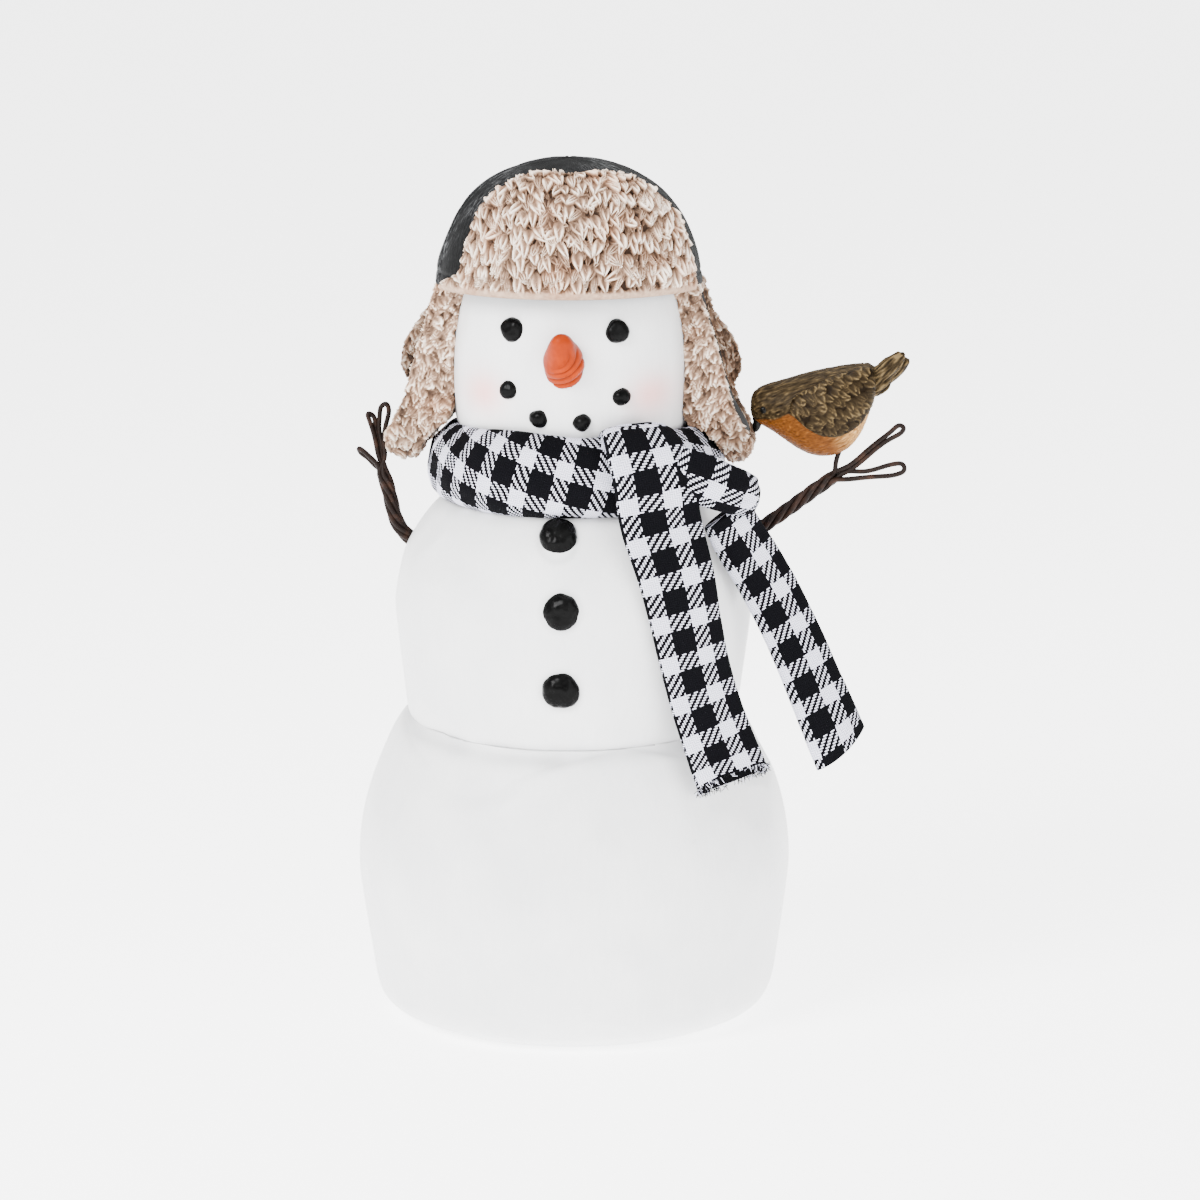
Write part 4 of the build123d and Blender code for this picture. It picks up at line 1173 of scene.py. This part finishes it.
def arms():
    shaft = [
        (-37.0, 0, 128.6), (-41.5, 0, 131.2), (-46, 0, 134.6), (-48.8, 0, 137.8), (-50.5, 0, 142.5),
        (-51.6, 0, 147.5), (-53.0, 0, 152.2),
    ]
    fingers = [
        ("left_wire_low", ["left_arm_wire_low", "left_arm_root"],
         [(-54.8, -0.9, 155.2), (-56.8, -0.8, 157.2), (-58.8, -0.6, 158.9), (-59.9, 0, 159.3)],
         [(-59.6, 0.6, 158.3), (-57.6, 0.8, 156.6), (-55.2, 0.8, 154.2)]),
        ("left_wire_middle", ["left_arm_wire_middle"],
         [(-54.0, 0, 156.2), (-55.0, -0.4, 160.5), (-55.9, -0.5, 164.5), (-57.0, -0.3, 167.8),
          (-57.2, 0, 169.2)],
         [(-56.3, 0.4, 168.9), (-55.3, 0.5, 165.6), (-54.4, 0.5, 161.5), (-53.6, 0.4, 157.5)]),
        ("left_wire_high", ["left_arm_wire_high"],
         [(-53.1, 0.4, 157), (-53.6, 0.3, 161), (-54.2, 0, 165), (-54.0, 0, 169), (-53.2, 0, 171.6),
          (-52.2, 0, 172.0)],
         [(-51.5, 0, 170.8), (-51.8, 0, 168), (-52.6, 0, 164.6), (-52.9, 0, 161), (-52.7, -0.3, 157)]),
    ]
    arm("left_arm", shaft, fingers, [(-45.0, 0, 133.4), (-48.4, 0, 137.2)], 6, 1.35, 1.0, 0.4)

    shaft = [
        (37.6, 0, 128.2), (42, 0, 131.2), (46.2, 0, 134.4), (54, 0, 139.8), (60.4, 0, 144.4), (66.9, 0, 149.3),
        (71.8, 0, 152.8),
    ]
    fingers = [
        ("right_wire_upper", ["right_arm_wire_upper", "right_arm_root"],
         [(76.4, -0.2, 156.4), (81.4, -0.2, 160.6), (85.6, 0, 164.1), (88.8, 0, 166.8), (90.8, 0, 167.9),
          (91.6, 0, 167.3)],
         [(91.1, 0, 166.1), (89.2, 0, 164.8), (86.4, 0, 163.1), (82.3, 0.2, 159.7), (77.4, 0.2, 155.6)]),
        ("right_wire_loop", ["right_arm_wire_loop"],
         [(75.2, 0.5, 154.4), (80, 0.4, 154.8), (85.5, 0, 156.1), (89.5, 0, 157.2), (91.6, 0, 156.9),
          (91.9, 0, 155.5)],
         [(90.4, 0, 154.4), (85.5, 0, 153.6), (80, 0, 153.1), (75.2, 0, 152.6)]),
        ("bird_leg_strand", ["bird_leg_wire"],
         [(72.5, 0, 154.4), (73.0, 0, 157.2), (73.9, 0, 160.4), (74.9, 0, 163.8)], []),
    ]
    arm("right_arm", shaft, fingers, [(45.0, 0, 133.4), (49.4, 0, 136.8)], 5, 1.3, 1.9, 1.0)


# ---------------------------------------------------------------- robin
BREAST_EDGE = [
    (49, 169.0), (51.5, 169.4), (56.4, 170.0), (60.2, 172.0), (64, 170.6), (68.6, 169), (77, 170), (81.5, 174),
    (83, 177),
]
WING_OUTLINE = [
    (60.6, 172.2), (64.0, 169.4), (68.6, 166.5), (73.0, 165.9), (77.2, 167.4), (81.4, 171.6), (83.2, 176.2),
    (83.6, 181.0), (82.6, 184.0), (77.6, 183.6), (71.5, 181.6), (65.5, 178.6), (61.0, 175.4),
]


def outline_distance(x, z, outline):
    """Distance inside a closed outline, negative outside it."""
    loop = spline(outline + outline[:1], 120)[:-1]
    best = np.full(len(x), 1e9)
    inside = np.zeros(len(x), bool)
    for (x0, z0), (x1, z1) in zip(loop, np.roll(loop, -1, axis=0)):
        dx, dz = x1 - x0, z1 - z0
        t = clamp(((x - x0) * dx + (z - z0) * dz) / (dx * dx + dz * dz))
        best = np.minimum(best, np.hypot(x - x0 - t * dx, z - z0 - t * dz))
        inside ^= ((z0 > z) != (z1 > z)) & (x < (x1 - x0) * (z - z0) / (z1 - z0 + 1e-9) + x0)
    return np.where(inside, best, -best)


def shell(name, source, chosen, outer, inner):
    """Closed shell over the chosen points of a mesh, between two heights above it."""
    points, normals = surface_of(source)
    keep = [list(face.vertices) for face in source.data.polygons if all(chosen[v] for v in face.vertices)]
    used = sorted({v for face in keep for v in face})
    number = {v: i for i, v in enumerate(used)}
    top = points[used] + normals[used] * outer[used][:, None]
    bottom = points[used] + normals[used] * inner
    count = len(used)
    faces, edges = [], set()
    for face in keep:
        ids = [number[v] for v in face]
        faces.append(ids)
        faces.append([i + count for i in reversed(ids)])
        edges |= {(p, q) for p, q in zip(ids, ids[1:] + ids[:1])}
    for p, q in edges:
        if (q, p) not in edges:
            faces.append((q, p, p + count, q + count))
    return build(name, np.vstack([top, bottom]), faces), np.array(used)


def robin():
    y = UPPER_Y
    body = from_node("robin_body_cast", "bird_body", 0.26, 14)
    points, normals = surface_of(body)
    smooth = body.copy()
    smooth.data = body.data.copy()
    along, across = turned(points[:, 0], points[:, 2], 20)
    strand_point = np.stack([along, points[:, 1], across], axis=-1)
    streak = sample(strand_point, (2.4, 0.5, 0.5), 4.0) + 0.5 * sample(strand_point, (1.4, 0.33, 0.33), 7.0)
    relief = clamp(0.5 + streak * 0.55)
    bib = np.interp(points[:, 0], *np.array(BREAST_EDGE).T) + sample(points, 1.6, 3.0) * 0.4
    breast = smoothstep(0.35, -0.35, points[:, 2] - bib)
    set_attribute(body, "breast", breast)
    set_attribute(body, "rump", smoothstep(70, 81, points[:, 0] + 0.5 * (points[:, 2] - 165)))
    set_attribute(body, "relief", np.where(breast > 0.5, relief * 0.9, relief))
    move_points(body, points + normals * ((relief - 0.5) * 0.22)[:, None])

    for side, name in ((-1, "left"), (1, "right")):
        depth = outline_distance(points[:, 0], points[:, 2], WING_OUTLINE)
        chosen = (depth > -0.1) & ((points[:, 1] - y) * side > -0.4)
        along, across = turned(points[:, 0] - 73, points[:, 2] - 174, -30)
        scales = tuft_field(across, -along, (2.3, 2.9), 1.7, 15, spread=24, hollow=0.6, blunt=0.5)
        barbs = 0.5 + 0.5 * np.sin(across * 8 + sample(points, 1.5) * 4)
        feather = clamp(scales * (0.8 + 0.2 * barbs))
        rise = 1.25 * dome(depth / 1.6)
        wing, used = shell(f"robin_wing_{name}", smooth, chosen, rise + (feather - 0.35) * 0.6, -0.5)
        tone = toned(feather[used], 0.47, 0.27)
        set_attribute(wing, "relief", np.concatenate([tone, tone * 0]))
        place(wing, "robin", "robin_brown", f"bird_wing_{name}")
    bpy.data.objects.remove(smooth)
    place(body, "robin", "robin_brown", "bird_body")

    lobes = [
        ((86.8, y - 1.1, 183.7), (6.6, 2.0, 2.5), 44),
        ((87.6, y + 1.1, 182.2), (6.7, 2.0, 2.3), 38),
        ((83.8, y, 180.2), (4.6, 3.0, 4.0), 38),
    ]
    tail = blobs("robin_tail_cast", lobes, 0.22, 5)
    points, normals = surface_of(tail)
    along, across = turned(points[:, 0], points[:, 2], 41)
    streak = sample(np.stack([along, points[:, 1], across], axis=-1), (3.0, 0.6, 0.55), 2.0)
    relief = clamp(0.58 + streak * 0.8)
    move_points(tail, points + normals * ((relief - 0.5) * 0.45)[:, None])
    set_attribute(tail, "relief", relief)
    place(tail, "robin", "robin_brown", "bird_tail")

    mandibles = [((51.2, y, 168.0), (1.25, 1.4, 2.6), -14), ((51.7, y, 169.6), (1.9, 1.9, 1.5), 25)]
    beak = blobs("robin_beak_cast", mandibles, 0.14, 3)
    place(beak, "robin", "robin_dark", "bird_beak")
    for side, name in ((-1, "left"), (1, "right")):
        eye = blobs(f"robin_eye_{name}", [((53.3, y + side * 5.0, 172.5), (1.05, 0.8, 1.05), 0)], 0.1, 2)
        place(eye, "robin", "robin_dark", f"bird_eye_{name}")


stage()
snowman_base()
snowman_torso()
snowman_head()
lumps()
nose()
crown()
brim()
for flap_seed, flap in enumerate(("ear_flap_left_fleece", "ear_flap_right_fleece", "neck_flap_fleece")):
    crumpled(flap + "_cast", flap, 3.0 + 17 * flap_seed)
covers()
wrap = scarf_wrap()
front, fray, front_length = scarf_front()
side, side_length = scarf_side()
knot = scarf_knot()
arms()
robin()
